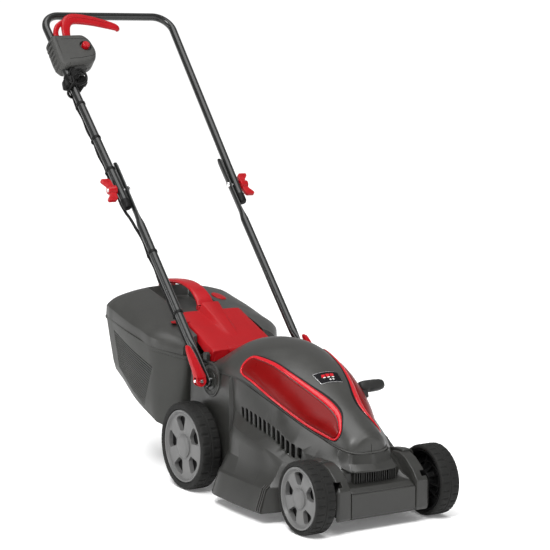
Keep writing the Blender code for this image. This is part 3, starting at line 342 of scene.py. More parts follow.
def sweep(path, sizes, across=(0, 0, 1), sides=20, caps=True, power=1.0, round_ends=False):
    """Tube along a path; a size is a radius or (half side, half across); power < 1 squares it."""
    path = [Vector(p) for p in path]
    if not isinstance(sizes, list):
        sizes = [sizes] * len(path)
    sizes = [s if isinstance(s, tuple) else (s, s) for s in sizes]
    if round_ends:
        first, last = (path[0] - path[1]).normalized(), (path[-1] - path[-2]).normalized()
        lead, tail = sizes[0], sizes[-1]
        turns = [math.pi / 2 * k / 4 for k in range(4)]
        before = [(path[0] + first * min(lead) * math.cos(t), (lead[0] * max(0.05, math.sin(t)),
                   lead[1] * max(0.05, math.sin(t)))) for t in turns]
        after = [(path[-1] + last * min(tail) * math.cos(t), (tail[0] * max(0.05, math.sin(t)),
                  tail[1] * max(0.05, math.sin(t)))) for t in reversed(turns)]
        path = [p for p, _ in before] + path + [p for p, _ in after]
        sizes = [s for _, s in before] + sizes + [s for _, s in after]
    up = Vector(across).normalized()
    rows = []
    for i, centre in enumerate(path):
        ahead = (path[min(i + 1, len(path) - 1)] - path[max(i - 1, 0)]).normalized()
        side = ahead.cross(up).normalized()
        up = side.cross(ahead).normalized()
        row = []
        for k in range(sides):
            c, s = math.cos(2 * math.pi * k / sides), math.sin(2 * math.pi * k / sides)
            c, s = math.copysign(abs(c) ** power, c), math.copysign(abs(s) ** power, s)
            row.append(centre + side * (sizes[i][0] * c) + up * (sizes[i][1] * s))
        rows.append(row)
    return loft(rows, closed=True, cap_first=caps, cap_last=caps)


def lathe(profile, steps=48, axis="X", centre=(0, 0, 0), closed=True, flip=False):
    """Ring from a profile of (radius, reach along the axis)."""
    rows = []
    for k in range(steps + 1):
        turn = 2 * math.pi * (k % steps) / steps
        c, s = math.cos(turn), math.sin(turn)
        row = []
        for r, h in profile:
            h = -h if flip else h
            row.append({"X": (h, r * c, r * s), "Y": (r * c, h, r * s), "Z": (r * c, r * s, h)}[axis])
        rows.append([Vector(p) + Vector(centre) for p in row])
    return loft(rows, closed=closed)


def prism(outline, low, high, axis="Z"):
    """Flat outline pulled along an axis; its two values are the other two axes."""
    place = {"X": lambda a, b, c: (c, a, b), "Y": lambda a, b, c: (a, c, b), "Z": lambda a, b,
             c: (a, b, c)}[axis]
    rows = [[place(a, b, level) for a, b in outline] for level in (low, high)]
    return loft(rows, closed=True, cap_first=True, cap_last=True)


def block(low, high):
    (x0, y0, z0), (x1, y1, z1) = low, high
    return prism([(x0, y0), (x1, y0), (x1, y1), (x0, y1)], z0, z1)


def rod(radius, start, end, sides=24):
    start, end = Vector(start), Vector(end)
    across = (0, 0, 1) if abs((end - start).normalized().z) < 0.9 else (1, 0, 0)
    return sweep([start, end], radius, across=across, sides=sides)


def rounded(outline, radius, steps=4):
    """The outline with its corners rounded."""
    points = [Vector((*p, 0)) for p in outline]
    result = []
    for before, corner, after in zip([points[-1]] + points[:-1], points, points[1:] + points[:1]):
        a, b = before - corner, after - corner
        reach = min(radius, a.length * 0.45, b.length * 0.45)
        a, b = corner + a.normalized() * reach, corner + b.normalized() * reach
        for k in range(steps + 1):
            t = k / steps
            p = a * (1 - t) ** 2 + corner * 2 * t * (1 - t) + b * t ** 2
            result.append((p.x, p.y))
    return result


def applied(mesh, *steps):
    """The mesh after modifiers, each given as (type, settings)."""
    item = bpy.data.objects.new("work", mesh)
    bpy.context.scene.collection.objects.link(item)
    for kind, settings in steps:
        step = item.modifiers.new(kind, kind)
        for key, value in settings.items():
            setattr(step, key, value)
    bpy.context.view_layer.update()
    result = bpy.data.meshes.new_from_object(item.evaluated_get(bpy.context.evaluated_depsgraph_get()))
    bpy.data.objects.remove(item)
    return result


def shell(mesh, thickness):
    return applied(mesh, ("SOLIDIFY", {"thickness": thickness, "offset": -1.0, "use_even_offset": True}))


def carve(mesh, tools):
    tool = bpy.data.objects.new("tool", joined(*tools))
    bpy.context.scene.collection.objects.link(tool)
    result = applied(mesh, ("BOOLEAN", {"operation": "DIFFERENCE", "solver": "EXACT", "object": tool}))
    bpy.data.objects.remove(tool)
    return result


def add(name, mesh, look, body, replaced=(), place=BODY, bevel=0.0, segments=2, limit=30,
        sharp=35):
    """A finished piece that rides on a body and stands for CAD nodes."""
    mesh = moved(mesh, place)
    mesh.name = name
    mesh.materials.clear()
    mesh.materials.append(LOOKS[look])
    for face in mesh.polygons:
        face.material_index = 0
    mesh.shade_smooth()
    mesh.set_sharp_from_angle(angle=math.radians(sharp))
    item = bpy.data.objects.new(name, mesh)
    bpy.context.scene.collection.objects.link(item)
    if bevel:
        step = item.modifiers.new("edges", "BEVEL")
        step.width = bevel
        step.segments = segments
        step.limit_method = "ANGLE"
        step.angle_limit = math.radians(limit)
        step.harden_normals = False
    if body:
        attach(item, body)
    if replaced:
        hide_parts(*replaced)
    return item


def column(table, y, value=1):
    return float(np.interp(y, [row[0] for row in table], [row[value] for row in table]))


# ------------------------------------------------------------ deck

# Edge where the hood meets the deck: y, half width, height
PARTING = [(0.000, .0340, .1405), (0.008, .0440, .1430), (0.022, .0490, .1460), (0.045, .0535, .1510),
           (0.070, .0620, .1620), (0.105, .0775, .1780), (0.190, .0990, .2140), (0.280, .1075, .2400),
           (0.340, .1085, .2460), (0.420, .1065, .2470), (0.500, .1050, .2470)]
# Crest of the hood along the middle: y, height
CREST = [(0.000, .1720), (0.008, .1790), (0.022, .1880), (0.045, .2020), (0.105, .2390), (0.145, .2635),
         (0.190, .2870), (0.235, .3050), (0.280, .3170), (0.340, .3180), (0.400, .3035), (0.430, .2890),
         (0.448, .2760)]
HOOD_END_Y = 0.448
MOTOR_Y = joint_place("rotor_spin").y - FRONT_AXLE_Y

# Outer skin of the deck: groups of smooth stations round the half outline, each from its lower
# edge to the parting line. Groups meet at corners.
DECK_GROUPS = [
    [   # bumper and visor
        [(0, -.046, .026), (0, -.046, .077), (0, -.037, .084), (0, -.018, .086), (0, -.011, .088),
         (0, -.011, .106), (0, -.022, .108), (0, -.031, .109), (0, -.030, .112), (0, -.017, .1205),
         (0, -.0045, .1385)],
        [(.045, -.0455, .026), (.045, -.0455, .077), (.045, -.036, .084), (.044, -.017, .086),
         (.043, -.009, .088),
         (.043, -.009, .106), (.043, -.017, .108), (.042, -.025, .109), (.042, -.024, .112),
         (.039, -.009, .122),
         (.0335, .0005, .1392)],
        [(.0715, -.0445, .026), (.0715, -.0445, .077), (.070, -.033, .084), (.066, -.015, .086),
         (.060, -.006, .088),
         (.057, -.005, .106), (.055, -.008, .108), (.055, -.013, .109), (.054, -.012, .112),
         (.050, -.002, .123),
         (.0435, .008, .1420)],
    ],
    [   # behind the corner blocks, up to the wheel's niche
        [(.0735, -.041, .026), (.0735, -.041, .077), (.072, -.028, .086), (.069, -.009, .093),
         (.067, -.003, .099),
         (.064, .001, .106), (.062, .005, .112), (.061, .007, .116), (.060, .009, .120), (.055, .014, .131),
         (.0490, .022, .1450)],
        [(.105, .006, .030), (.105, .006, .074), (.104, .008, .090), (.102, .012, .099), (.099, .016, .106),
         (.096, .020, .111), (.088, .024, .115), (.080, .027, .119), (.074, .031, .124), (.064, .038, .138),
         (.0535, .045, .1500)],
        [(.111, .072, .026), (.111, .072, .067), (.1105, .072, .075), (.110, .072, .090), (.109, .072, .101),
         (.108, .072, .109), (.103, .073, .1135), (.099, .073, .117), (.096, .074, .134), (.078, .073, .151),
         (.0620, .070, .1610)],
    ],
    [   # flank with the skirt
        [(.184, .097, .022), (.1700, .100, .067), (.1645, .101, .071), (.147, .102, .092), (.139, .103, .107),
         (.1290, .104, .1175), (.1135, .105, .1215), (.1105, .105, .1255), (.108, .105, .147),
         (.091, .105, .166),
         (.0775, .105, .1770)],
        [(.1862, .145, .022), (.1720, .145, .067), (.1665, .145, .071), (.150, .145, .098),
         (.1465, .145, .120),
         (.1390, .145, .1325), (.1180, .145, .1405), (.1140, .145, .145), (.1125, .145, .167),
         (.099, .145, .186),
         (.0876, .145, .1940)],
        [(.1867, .190, .022), (.1715, .190, .067), (.1655, .190, .071), (.151, .190, .100),
         (.149, .190, .128),
         (.1440, .190, .1420), (.1220, .190, .1520), (.1175, .190, .157), (.116, .190, .180),
         (.105, .190, .202),
         (.0990, .190, .2130)],
        [(.1845, .240, .022), (.1695, .240, .067), (.164, .240, .071), (.149, .240, .102), (.148, .240, .134),
         (.1430, .240, .1510), (.1230, .240, .1630), (.1185, .240, .168), (.1175, .240, .191),
         (.110, .240, .216),
         (.1040, .240, .2280)],
        [(.181, .285, .022), (.1660, .285, .067), (.161, .285, .071), (.144, .284, .104), (.142, .283, .138),
         (.1360, .281, .158), (.1225, .281, .172), (.1185, .281, .177), (.118, .281, .200),
         (.112, .281, .227),
         (.1078, .283, .2400)],
        [(.168, .313, .022), (.1520, .311, .067), (.148, .310, .071), (.131, .308, .105), (.128, .306, .140),
         (.1230, .304, .163), (.1170, .304, .179), (.1155, .304, .184), (.115, .305, .206),
         (.112, .306, .233),
         (.1085, .308, .2440)],
    ],
    [   # recess in front of the pillar
        [(.112, .326, .024), (.1115, .324, .067), (.1110, .324, .075), (.1108, .324, .105),
         (.1106, .324, .140),
         (.1104, .324, .165), (.1102, .324, .180), (.1100, .325, .190), (.1098, .326, .210),
         (.1096, .329, .234),
         (.1088, .331, .2452)],
    ],
    [   # pillar
        [(.1185, .330, .030), (.1185, .328, .067), (.1185, .328, .075), (.1185, .328, .105),
         (.1182, .328, .140),
         (.1180, .328, .165), (.1178, .329, .180), (.1176, .329, .190), (.1172, .330, .210),
         (.1160, .333, .234),
         (.1088, .335, .2456)],
        [(.1180, .420, .040), (.1180, .420, .067), (.1180, .420, .085), (.1178, .420, .110),
         (.1176, .420, .140),
         (.1172, .420, .165), (.1168, .420, .180), (.1164, .420, .190), (.1156, .420, .210),
         (.1130, .420, .232),
         (.1065, .420, .2465)],
        [(.1150, .494, .070), (.1150, .495, .085), (.1150, .495, .095), (.1148, .496, .115),
         (.1146, .496, .140),
         (.1142, .496, .160), (.1138, .496, .175), (.1134, .496, .190), (.1126, .496, .210),
         (.1110, .496, .232),
         (.1050, .496, .2465)],
    ],
    [   # rear wall
        [(.1100, .5005, .070), (.1100, .5005, .085), (.1100, .501, .095), (.1100, .501, .115),
         (.1100, .501, .140),
         (.1100, .501, .160), (.1100, .501, .175), (.1095, .501, .190), (.1090, .501, .210),
         (.1080, .501, .232),
         (.1030, .500, .2465)],
        [(0, .502, .070), (0, .502, .085), (0, .5025, .095), (0, .5025, .115), (0, .503, .140),
         (0, .503, .160),
         (0, .503, .175), (0, .503, .190), (0, .503, .210), (0, .503, .232), (0, .502, .2465)],
    ],
]
STATION_STEPS = 6
WELL = [(0.088, 0.152), (0.085, 0.118), (0.016, 0.118)]     # radius, height of the motor's well
VENT_COUNT = 13
VENT_LINE = [(.1000, .086, .1310), (.1110, .118, .1390), (.1150, .168, .1610), (.1185, .276, .1835)]


def deck_stations():
    """Columns of points round the half outline, smooth inside each group."""
    columns = []
    for group in DECK_GROUPS:
        if len(group) == 1:
            columns.append([Vector(p) for p in group[0]])
            continue
        lines = [spline([station[k] for station in group], STATION_STEPS) for k in range(len(group[0]))]
        columns += [list(column_points) for column_points in zip(*lines)]
    return columns


def deck_skin():
    columns = deck_stations()
    for column_points in columns:
        # ledge outside the parting line, and the rounded rows between the hard ones
        edge = column_points[-1]
        out = (column_points[-2] - edge)
        out.z = 0
        reach = 0.0060 if edge.y < 0.03 else 0.0034
        step = out.normalized() * min(reach, out.length * 0.6) if out.length > 1e-6 else Vector((0, -reach,
                                                                                                 0))
        column_points.insert(-1, edge + step + Vector((0, 0, -0.0004)))
        top = edge
        for radius, height in WELL:
            turn = math.atan2(top.y - MOTOR_Y, top.x)
            column_points.append(Vector((radius * math.cos(turn), MOTOR_Y + radius * math.sin(turn), height)))
        if abs(column_points[0].x) < 1e-6:
            for point in column_points:
                point.x = 0.0
    rings = []
    for k in range(len(columns[0])):
        half = [column_points[k] for column_points in columns]
        rings.append(half + [Vector((-p.x, p.y, p.z)) for p in reversed(half) if p.x > 1e-6])
    return loft(rings, closed=True)


def vent_tools():
    line = even(spline(VENT_LINE, 8), 0.001)
    spots = [line[round(k)] for k in np.linspace(3, len(line) - 4, VENT_COUNT)]
    tools = []
    for side in (-1, 1):
        for k, spot in enumerate(spots):
            low = 0.0128 if 0 < k < VENT_COUNT - 1 else 0.0100
            shape = rounded([(-.0050, -low), (.0050, -low), (.0050, low), (-.0050, low)], 0.0030, 3)
            hole = prism([(spot.y + a + b * 0.12, spot.z + .0010 + b + a * 0.35) for a, b in shape], -0.010,
                         0.010, "X")
            tools.append(moved(hole, Matrix.Translation((side * spot.x, 0, 0))))
    return tools


def build_deck():
    skin = shell(deck_skin(), 0.0026)
    tools = vent_tools()
    for side in (-1, 1):
        for y0, y1, z1 in ((-0.010, 0.018, 0.095), (0.423, 0.447, 0.100)):
            x0, x1 = sorted((side * 0.096, side * 0.135))
            tools.append(block((x0, y0, 0.0), (x1, y1, z1)))
        x0, x1 = sorted((side * 0.100, side * 0.130))
        tools.append(rod(0.0046, (x0, PIVOT_Y, PIVOT_Z), (x1, PIVOT_Y, PIVOT_Z)))
        tools.append(rod(0.0080, (side * 0.0700, -.0346, .050), (side * 0.1350, -.0346, .050)))
        x0, x1 = sorted((side * 0.0900, side * 0.1120))
        tools.append(block((x0, -.0440, .0), (x1, .0205, .0975)))
    tools.append(block((-0.088, 0.482, 0.135), (0.088, 0.515, 0.2275)))
    skin = carve(skin, tools)
    skin = carve(skin, [block((0.1050, 0.100, 0.112), (0.1195, 0.190, 0.200))])
    add("deck_shell", skin, "deck_plastic", "chassis", ["deck"], bevel=0.0011, segments=2, limit=24, sharp=50)
    build_front()
    build_skirt_ribs()
    for name, side in SIDES:
        build_boss(name, side)
        x0, x1 = sorted((side * 0.083, side * 0.091))
        lug = rounded([(.466, .228), (.482, .228), (.482, .2745), (.466, .2745)], 0.006)
        add(f"flap_lug_{name}", prism(lug, x0, x1, "X"), "deck_plastic", "chassis", bevel=0.0008)
    add("lever_pin", rod(0.0030, (0.1080, 0.145, 0.125), (0.1445, 0.145, 0.125)), "steel", "chassis",
        bevel=0.0005)


def build_front():
    """Corner blocks, the ribs of the nose slot, the bumper plate and a brow over each front wheel."""
    profile = [(.040, .030), (-.046, .026), (-.0495, .032), (-.0495, .084), (-.033, .104), (-.010, .121),
               (.010, .128), (.034, .128), (.050, .110), (.050, .060)]
    outer_cut = [(.040, .030), (-.046, .026), (-.0495, .032), (-.0495, .080), (-.033, .098), (-.010, .114),
                 (.010, .121), (.034, .122), (.050, .108), (.050, .060)]
    for name, side in SIDES:
        rows = []
        for x, points in ((.0740, outer_cut), (.0770, profile), (.1010, profile), (.1070, outer_cut)):
            shift = 0.0045 if x in (.0740, .1070) else 0.0
            rows.append([(side * x, y + (shift if y < 0 else 0), z) for y, z in points])
        x0, x1 = sorted((side * .0915, side * .1100))
        solid = carve(loft(rows, closed=True, cap_first=True, cap_last=True),
                      [block((x0, -.0435, .0100), (x1, .0550, .1000)),
                       rod(0.0080, (side * 0.0700, -.0346, .050), (side * 0.1000, -.0346, .050))])
        add(f"corner_block_{name}", solid, "deck_plastic", "chassis", bevel=0.0012, segments=3, limit=24)
    ribs = []
    for k in range(19):
        x = (k - 9) * 0.0052
        depth = 0.0012 if abs(x) < 0.03 else 0.0
        ribs.append(block((x - 0.0008, -0.022 + depth + abs(x) * 0.08, 0.0855),
                          (x + 0.0008, -0.008, 0.1075)))
    add("slot_ribs", joined(*ribs), "deck_plastic", "chassis", bevel=0.0003)
    plate = rounded([(-.0738, .030), (-.0738, .0750), (.0738, .0750), (.0738, .030)], 0.003)
    add("bumper_plate", prism(plate, -0.0482, -0.0440, "Y"), "deck_plastic", "chassis",
        bevel=0.0014, segments=3)
    # brow that rises over each front wheel beside the nose
    for name, side in SIDES:
        rows = []
        for t in np.linspace(0, 1, 13):
            y = 0.012 + 0.060 * t
            lift = math.sin(math.pi * t) * 0.0035
            rows.append([(side * x, y, z + lift) for x, z in
                         ((.113, .112), (.1125, .124 - .004 * t), (.108, .131 - .009 * t),
                          (.098, .133 - .009 * t),
                          (.086, .131 - .005 * t), (.086, .112))])
        add(f"wheel_brow_{name}", loft(rows, closed=True, cap_first=True, cap_last=True), "deck_plastic",
            "chassis", bevel=0.0020, segments=3, limit=20)


def build_skirt_ribs():
    """Three upright ribs at the front end of each skirt."""
    for name, side in SIDES:
        ribs = []
        for y in (.1010, .1075, .1140):
            outer = [(.1885, .023), (.1885, .030), (.1745, .069), (.1660, .0745), (.1600, .070), (.170, .030)]
            ribs.append(prism([(side * (x + 0.0006), z) for x, z in outer], y - 0.0016, y + 0.0016, "Y"))
        # the skirt narrows here, so the ribs' outer edge stays inside the widest point
        ribs = [moved(rib, Matrix.Diagonal((0.983, 1, 1, 1))) for rib in ribs]
        add(f"skirt_ribs_{name}", joined(*ribs), "deck_plastic", "chassis", bevel=0.0008)


def build_boss(name, side):
    """Serrated boss that the handle's angle is set on."""
    rows = []
    teeth, per_tooth = 44, 4
    rings = [(.0360, .1140, 0), (.0360, .1172, 0), (.0348, .1184, 0), (.0325, .1184, 0), (.0318, .1168, 0),
             (.0312, .1176, 1), (.0235, .1176, 1), (.0228, .1166, 0), (.0205, .1166, 0), (.0198, .1184, 0),
             (.0140, .1190, 0), (.0130, .1184, 0), (.0080, .1184, 0)]
    for r, x, serrated in rings:
        row = []
        for k in range(teeth * per_tooth):
            turn = 2 * math.pi * k / (teeth * per_tooth)
            rise = 0.0010 if serrated and k % per_tooth < per_tooth // 2 else 0.0
            row.append((side * (x + rise), PIVOT_Y + r * math.cos(turn), PIVOT_Z + r * math.sin(turn)))
        rows.append(row)
    add(f"handle_boss_{name}", loft(rows, closed=True), "deck_plastic", "chassis", sharp=28)


build_deck()


# ------------------------------------------------------------ hood

def smooth_value(table, y, value):
    """Value of a table's column at y on a smooth curve through its rows."""
    ys = [row[0] for row in table]
    vs = [row[value] for row in table]
    i = min(max(int(np.searchsorted(ys, y)) - 1, 0), len(ys) - 2)
    slopes = np.gradient(vs, ys)
    span = ys[i + 1] - ys[i]
    t = min(max((y - ys[i]) / span, 0.0), 1.0)
    return float((2 * t ** 3 - 3 * t ** 2 + 1) * vs[i] + (t ** 3 - 2 * t ** 2 + t) * span * slopes[i]
                 + (-2 * t ** 3 + 3 * t ** 2) * vs[i + 1] + (t ** 3 - t ** 2) * span * slopes[i + 1])


def hood_sizes(y):
    """Half width, height of the edge and rise of the hood at y."""
    half = smooth_value(PARTING, y, 1) if y > 0.045 else column(PARTING, y)
    base = column(PARTING, y, 2) + 0.001
    return half, base, smooth_value(CREST, y, 1) - base


HOOD_POWER = 0.52


def hood_power(y):
    """Fullness of the section; the shoulders fall away towards the rear edge."""
    t = min(max((y - .350) / .098, 0.0), 1.0)
    return HOOD_POWER + .70 * t * t * (3 - 2 * t)


def hood_half(y, count=17):
    half, base, rise = hood_sizes(y)
    turns = [math.pi / 2 * k / (count - 1) for k in range(count)]
    return [Vector((half * math.cos(t), y,
                    base + rise * (1 - math.cos(t) ** 2) ** hood_power(y))) for t in turns]


def hood_x(y, z):
    half, base, rise = hood_sizes(y)
    level = min(max((z - base) / rise, 0.0), 1.0)
    return half * math.sqrt(max(0.0, 1 - level ** (1 / hood_power(y))))


def hood_normal(y, z):
    d = 0.0015
    along = Vector((hood_x(y + d, z) - hood_x(y - d, z), 2 * d, 0))
    up = Vector((hood_x(y, z + d) - hood_x(y, z - d), 0, 2 * d))
    normal = along.cross(up).normalized()
    return normal if normal.x > 0 else -normal


def build_hood():
    rows = []
    nose = hood_half(0.0)
    for y, scale in ((-0.0052, 0.02), (-0.0050, 0.35), (-0.0042, 0.62), (-0.0026, 0.84), (-0.0010, 0.95)):
        base = nose[0].z
        rows.append([Vector((p.x * scale, y, base + (p.z - base) * (0.55 + 0.45 * scale))) for p in nose])
    stations = [0.0008, 0.003, 0.006, 0.010, 0.015] + list(np.arange(0.021, HOOD_END_Y, 0.007)) + [HOOD_END_Y]
    rows += [hood_half(float(y)) for y in stations]
    full = [[Vector((-p.x, p.y, p.z)) for p in row[:-1]] + list(reversed(row)) for row in rows]
    back = [Vector((p.x * 0.96, HOOD_END_Y + 0.0035, p.z - 0.004)) for p in full[-1]]
    skirt = [Vector((p.x * 0.90, HOOD_END_Y + 0.0040, max(0.236, p.z - 0.014))) for p in full[-1]]
    skin = loft(full + [back, skirt])
    skin = shell(skin, 0.0022)
    skin = carve(skin, [rod(0.0060, (-0.0760, 0.4300, 0.2545), (-0.0875, 0.4640, 0.2545))])
    add("hood_shell", skin, "hood_plastic", "chassis", ["hood"], bevel=0.0007, limit=40, sharp=60)


INSERT_OUTLINE = [(.298, .256), (.306, .268), (.301, .284), (.286, .292), (.240, .2865), (.200, .275),
                  (.150, .2550), (.100, .2305), (.062, .2068), (.043, .1875), (.035, .174), (.038, .162),
                  (.051, .160), (.085, .172), (.130, .1925), (.190, .218), (.250, .241)]
INSERT_SPINE = ((.056, .178), (.270, .266))


def build_inserts():
    """Glossy teardrop panels with a raised rim, set into the hood's flanks; the rim's lighter red is a
    painted highlight and the black ring round each panel is painted shadow in the gap.
    """
    outline = [Vector((0, y, z)) for y, z in INSERT_OUTLINE]
    ring = even(spline(outline, 8, closed=True) + [outline[0]], 0.0045)[:-1]
    first, last = (Vector((0, *p)) for p in INSERT_SPINE)
    line = last - first

    def inward(point, reach):
        t = min(max((point - first).dot(line) / line.length_squared, 0.0), 1.0)
        target = first + line * t
        gap = target - point
        return point + gap * min(1.0, reach / gap.length), gap.length

    def surface(point, lift, side):
        x = hood_x(point.y, point.z)
        n = hood_normal(point.y, point.z)
        p = Vector((x, point.y, point.z)) + n * lift
        return Vector((side * p.x, p.y, p.z))

    for name, side in SIDES:
        # the rim takes the lighter insert_rim red, a painted highlight on its convex edge
        rim_rows = [[surface(inward(p, reach)[0], lift, side) for p in ring] for reach, lift in
                    ((-.0002, -.0030), (.0000, .0012), (.0007, .0022), (.0018, .0028), (.0032, .0027),
                     (.0043, .0019), (.0048, .0008), (.0048, -.0030))]
        rim = loft(rim_rows + [rim_rows[0]], closed=True)
        add(f"insert_rim_{name}", rim, "insert_rim", "chassis", sharp=70)
        rows = []
        for share, lift in ((0, -.0030), (0, .0004), (.02, .0012), (.06, .0017), (.16, .0022), (.32, .0027),
                            (.5, .0030), (.7, .0032), (.86, .0033), (.97, .0033)):
            row = []
            for p in ring:
                start = inward(p, 0.0056)[0]
                q = start + (inward(p, 1.0)[0] - start) * share
                row.append(surface(q, lift, side))
            rows.append(row)
        panel = loft(rows, closed=True, cap_last=True)
        add(f"insert_panel_{name}", panel, "insert_red", "chassis", [f"insert_{name}"], sharp=60)
        # black ring just outside each panel's outline: painted shadow in the gap round the insert
        painted_gap = [[surface(inward(p, reach)[0], lift, side) for p in ring] for reach, lift in
                  ((-.0016, -.0025), (-.0016, .0004), (-.0010, .0008), (-.0001, .0006), (-.0001, -.0025))]
        add(f"insert_painted_gap_{name}", loft(painted_gap + [painted_gap[0]], closed=True), "black_plastic", "chassis")


def build_parting_bead():
    """Raised lip of the deck along the hood's edge, widest round the nose, in the switch box's lighter grey:
    a painted highlight along the parting line.
    """
    half = [(0, -.0066, .1398), (.018, -.0058, .1398), (.0290, -.0030, .1401)]
    half += [(wide + .0012, y, z + .0006) for y, wide, z in PARTING if y < HOOD_END_Y]
    path = spline([(-x, y, z) for x, y, z in reversed(half[1:])] + half, 5)
    sizes = [.0010 + .0012 * max(0.0, 1 - max(0.0, p.y) / .06) for p in path]
    # lighter box_plastic grey instead of the deck's own: painted highlight on the deck's parting edge
    add("parting_highlight_bead", sweep(path, sizes, sides=12), "box_plastic", "chassis", sharp=60)


def build_badge():
    """Blank badge: a framed trapezoid with a generic slanted stripe pattern and no lettering."""
    centre_y = 0.1455

    def on_hood(x, u, lift):
        y = centre_y + u * math.cos(math.radians(28))
        half, base, height = hood_sizes(y)
        level = (1 - (min(abs(x), half * 0.98) / half) ** 2) ** HOOD_POWER
        z = base + height * level
        d = 0.001
        slope = (smooth_value(CREST, y + d, 1) - smooth_value(CREST, y - d, 1)) / (2 * d)
        n = Vector((0.35 * x / half, -slope, 1)).normalized()
        return Vector((x, y, z)) + n * lift

    def patch(corners, low, high, across=12, up=5):
        rows = []
        for level in (low, high):
            ring = []
            (ax, au), (bx, bu), (cx, cu), (dx, du) = corners
            edge = [((ax, au), (bx, bu), across), ((bx, bu), (cx, cu), up), ((cx, cu), (dx, du), across),
                    ((dx, du), (ax, au), up)]
            for (x0, u0), (x1, u1), n in edge:
                ring += [on_hood(x0 + (x1 - x0) * k / n, u0 + (u1 - u0) * k / n, level) for k in range(n)]
            rows.append(ring)
        inner = []
        cx = sum(c[0] for c in corners) / 4
        cu = sum(c[1] for c in corners) / 4
        for k in (0.66, 0.33, 0.02):
            ring = []
            for (x0, u0), (x1, u1), n in edge:
                for i in range(n):
                    x, u = x0 + (x1 - x0) * i / n, u0 + (u1 - u0) * i / n
                    ring.append(on_hood(cx + (x - cx) * k, cu + (u - cu) * k, high))
            inner.append(ring)
        return loft(rows + inner, closed=True, cap_last=True)

    outer = [(-.0290, .0140), (.0290, .0140), (.0250, -.0165), (-.0250, -.0165)]
    inner = [(-.0282, .0124), (.0282, .0124), (.0245, -.0158), (-.0245, -.0158)]
    add("badge_frame", patch(outer, -0.002, 0.0014), "steel", "chassis", ["badge_plate"],
        bevel=0.0003)
    add("badge_face", patch(inner, -0.001, 0.0018), "badge", "chassis", bevel=0.0002)
    stripes = []
    for k, (x, wide, u0, u1) in enumerate(((-.0165, .0080, -.0020, .0055), (-.0060, .0085, -.0015, .0065),
                                           (.0045, .0080, -.0010, .0072))):
        stripes.append(patch([(x + .003, u1), (x + wide + .003, u1), (x + wide, u0), (x, u0)], 0.0010, 0.0021,
                             4, 3))
    add("badge_stripes_red", joined(*stripes), "insert_rim", "chassis")
    marks = [patch([(x + .002, -.0020), (x + .0075, -.0020), (x + .0065, -.0042), (x + .001, -.0042)],
                   0.0010, 0.0021, 4, 2) for x in (-.0150, -.0050, .0050)]
    marks += [patch([(x, -.0085), (x + .0035, -.0085), (x + .0032, -.0118), (x - .0003, -.0118)],
                    0.0010, 0.0021, 3, 2) for x in (-.0020, .0050)]
    add("badge_marks_white", joined(*marks), "badge_white", "chassis")


build_hood()
build_inserts()
build_parting_bead()
build_badge()


# ------------------------------------------------------------ wheels and running gear

TYRE_HALF = 0.0435 / 2


def tyre_mesh(radius, rim, side):
    """Tyre with staggered edge grooves and a fine centre groove."""
    steps = 224
    h = TYRE_HALF
    profile = [(rim + .0003, h - .0028), (rim + .0022, h - .0006), (radius - .0055, h),
               (radius - .0022, h - .0010),
               (radius - .0006, h - .0030), (radius, h - .0060), (radius, .0110), (radius, .0052),
               (radius, .0044),
               (radius, .0012), (radius - .0010, .0006)]
    full = profile + [(r, -w) for r, w in reversed(profile)]
    rows = []
    for k in range(steps):
        turn = 2 * math.pi * (k + 0.5) / steps
        row = []
        for r, w in full:
            groove = (k % 8 in (0, 1)) if w > 0 else (k % 8 in (4, 5))
            if groove and .0044 < abs(w) < h - .0015 and r > radius - .004:
                r -= .0016
            row.append((side * w, r * math.cos(turn), r * math.sin(turn)))
        rows.append(row)
    return loft(rows + [rows[0]], closed=True)


def hub_mesh(rim, side, first_window):
    """Outer disc with five windows between broad spokes."""
    h = TYRE_HALF
    cap = 0.325 * rim
    profile = [(cap - .001, h - .0055), (cap + .0030, h - .0062), (rim * .55, h - .0050),
               (rim * .80, h - .0052),
               (rim - .0075, h - .0060), (rim - .0055, h - .0035), (rim - .0040, h - .0014),
               (rim - .0012, h - .0014),
               (rim - .0002, h - .0028), (rim - .0002, -.014), (rim - .0030, -.014), (rim - .0046, h - .0150),
               (cap - .001, h - .0150)]
    disc = lathe(profile, steps=80, flip=side < 0)
    tools = []
    for k in range(5):
        turn = first_window + 2 * math.pi * k / 5
        inner, outer = rim * 0.43, rim * 0.83
        shape = [(inner, -.22), (inner, .22), (outer * .94, .33), (outer, .24), (outer * 1.01, 0),
                 (outer, -.24),
                 (outer * .94, -.33)]
        points = [(r * math.cos(turn + a), r * math.sin(turn + a)) for r, a in shape]
        tools.append(prism(rounded(points, .0035, 4), *sorted((side * (h + .004), side * (h - .020))), "X"))
    return carve(disc, tools), cap


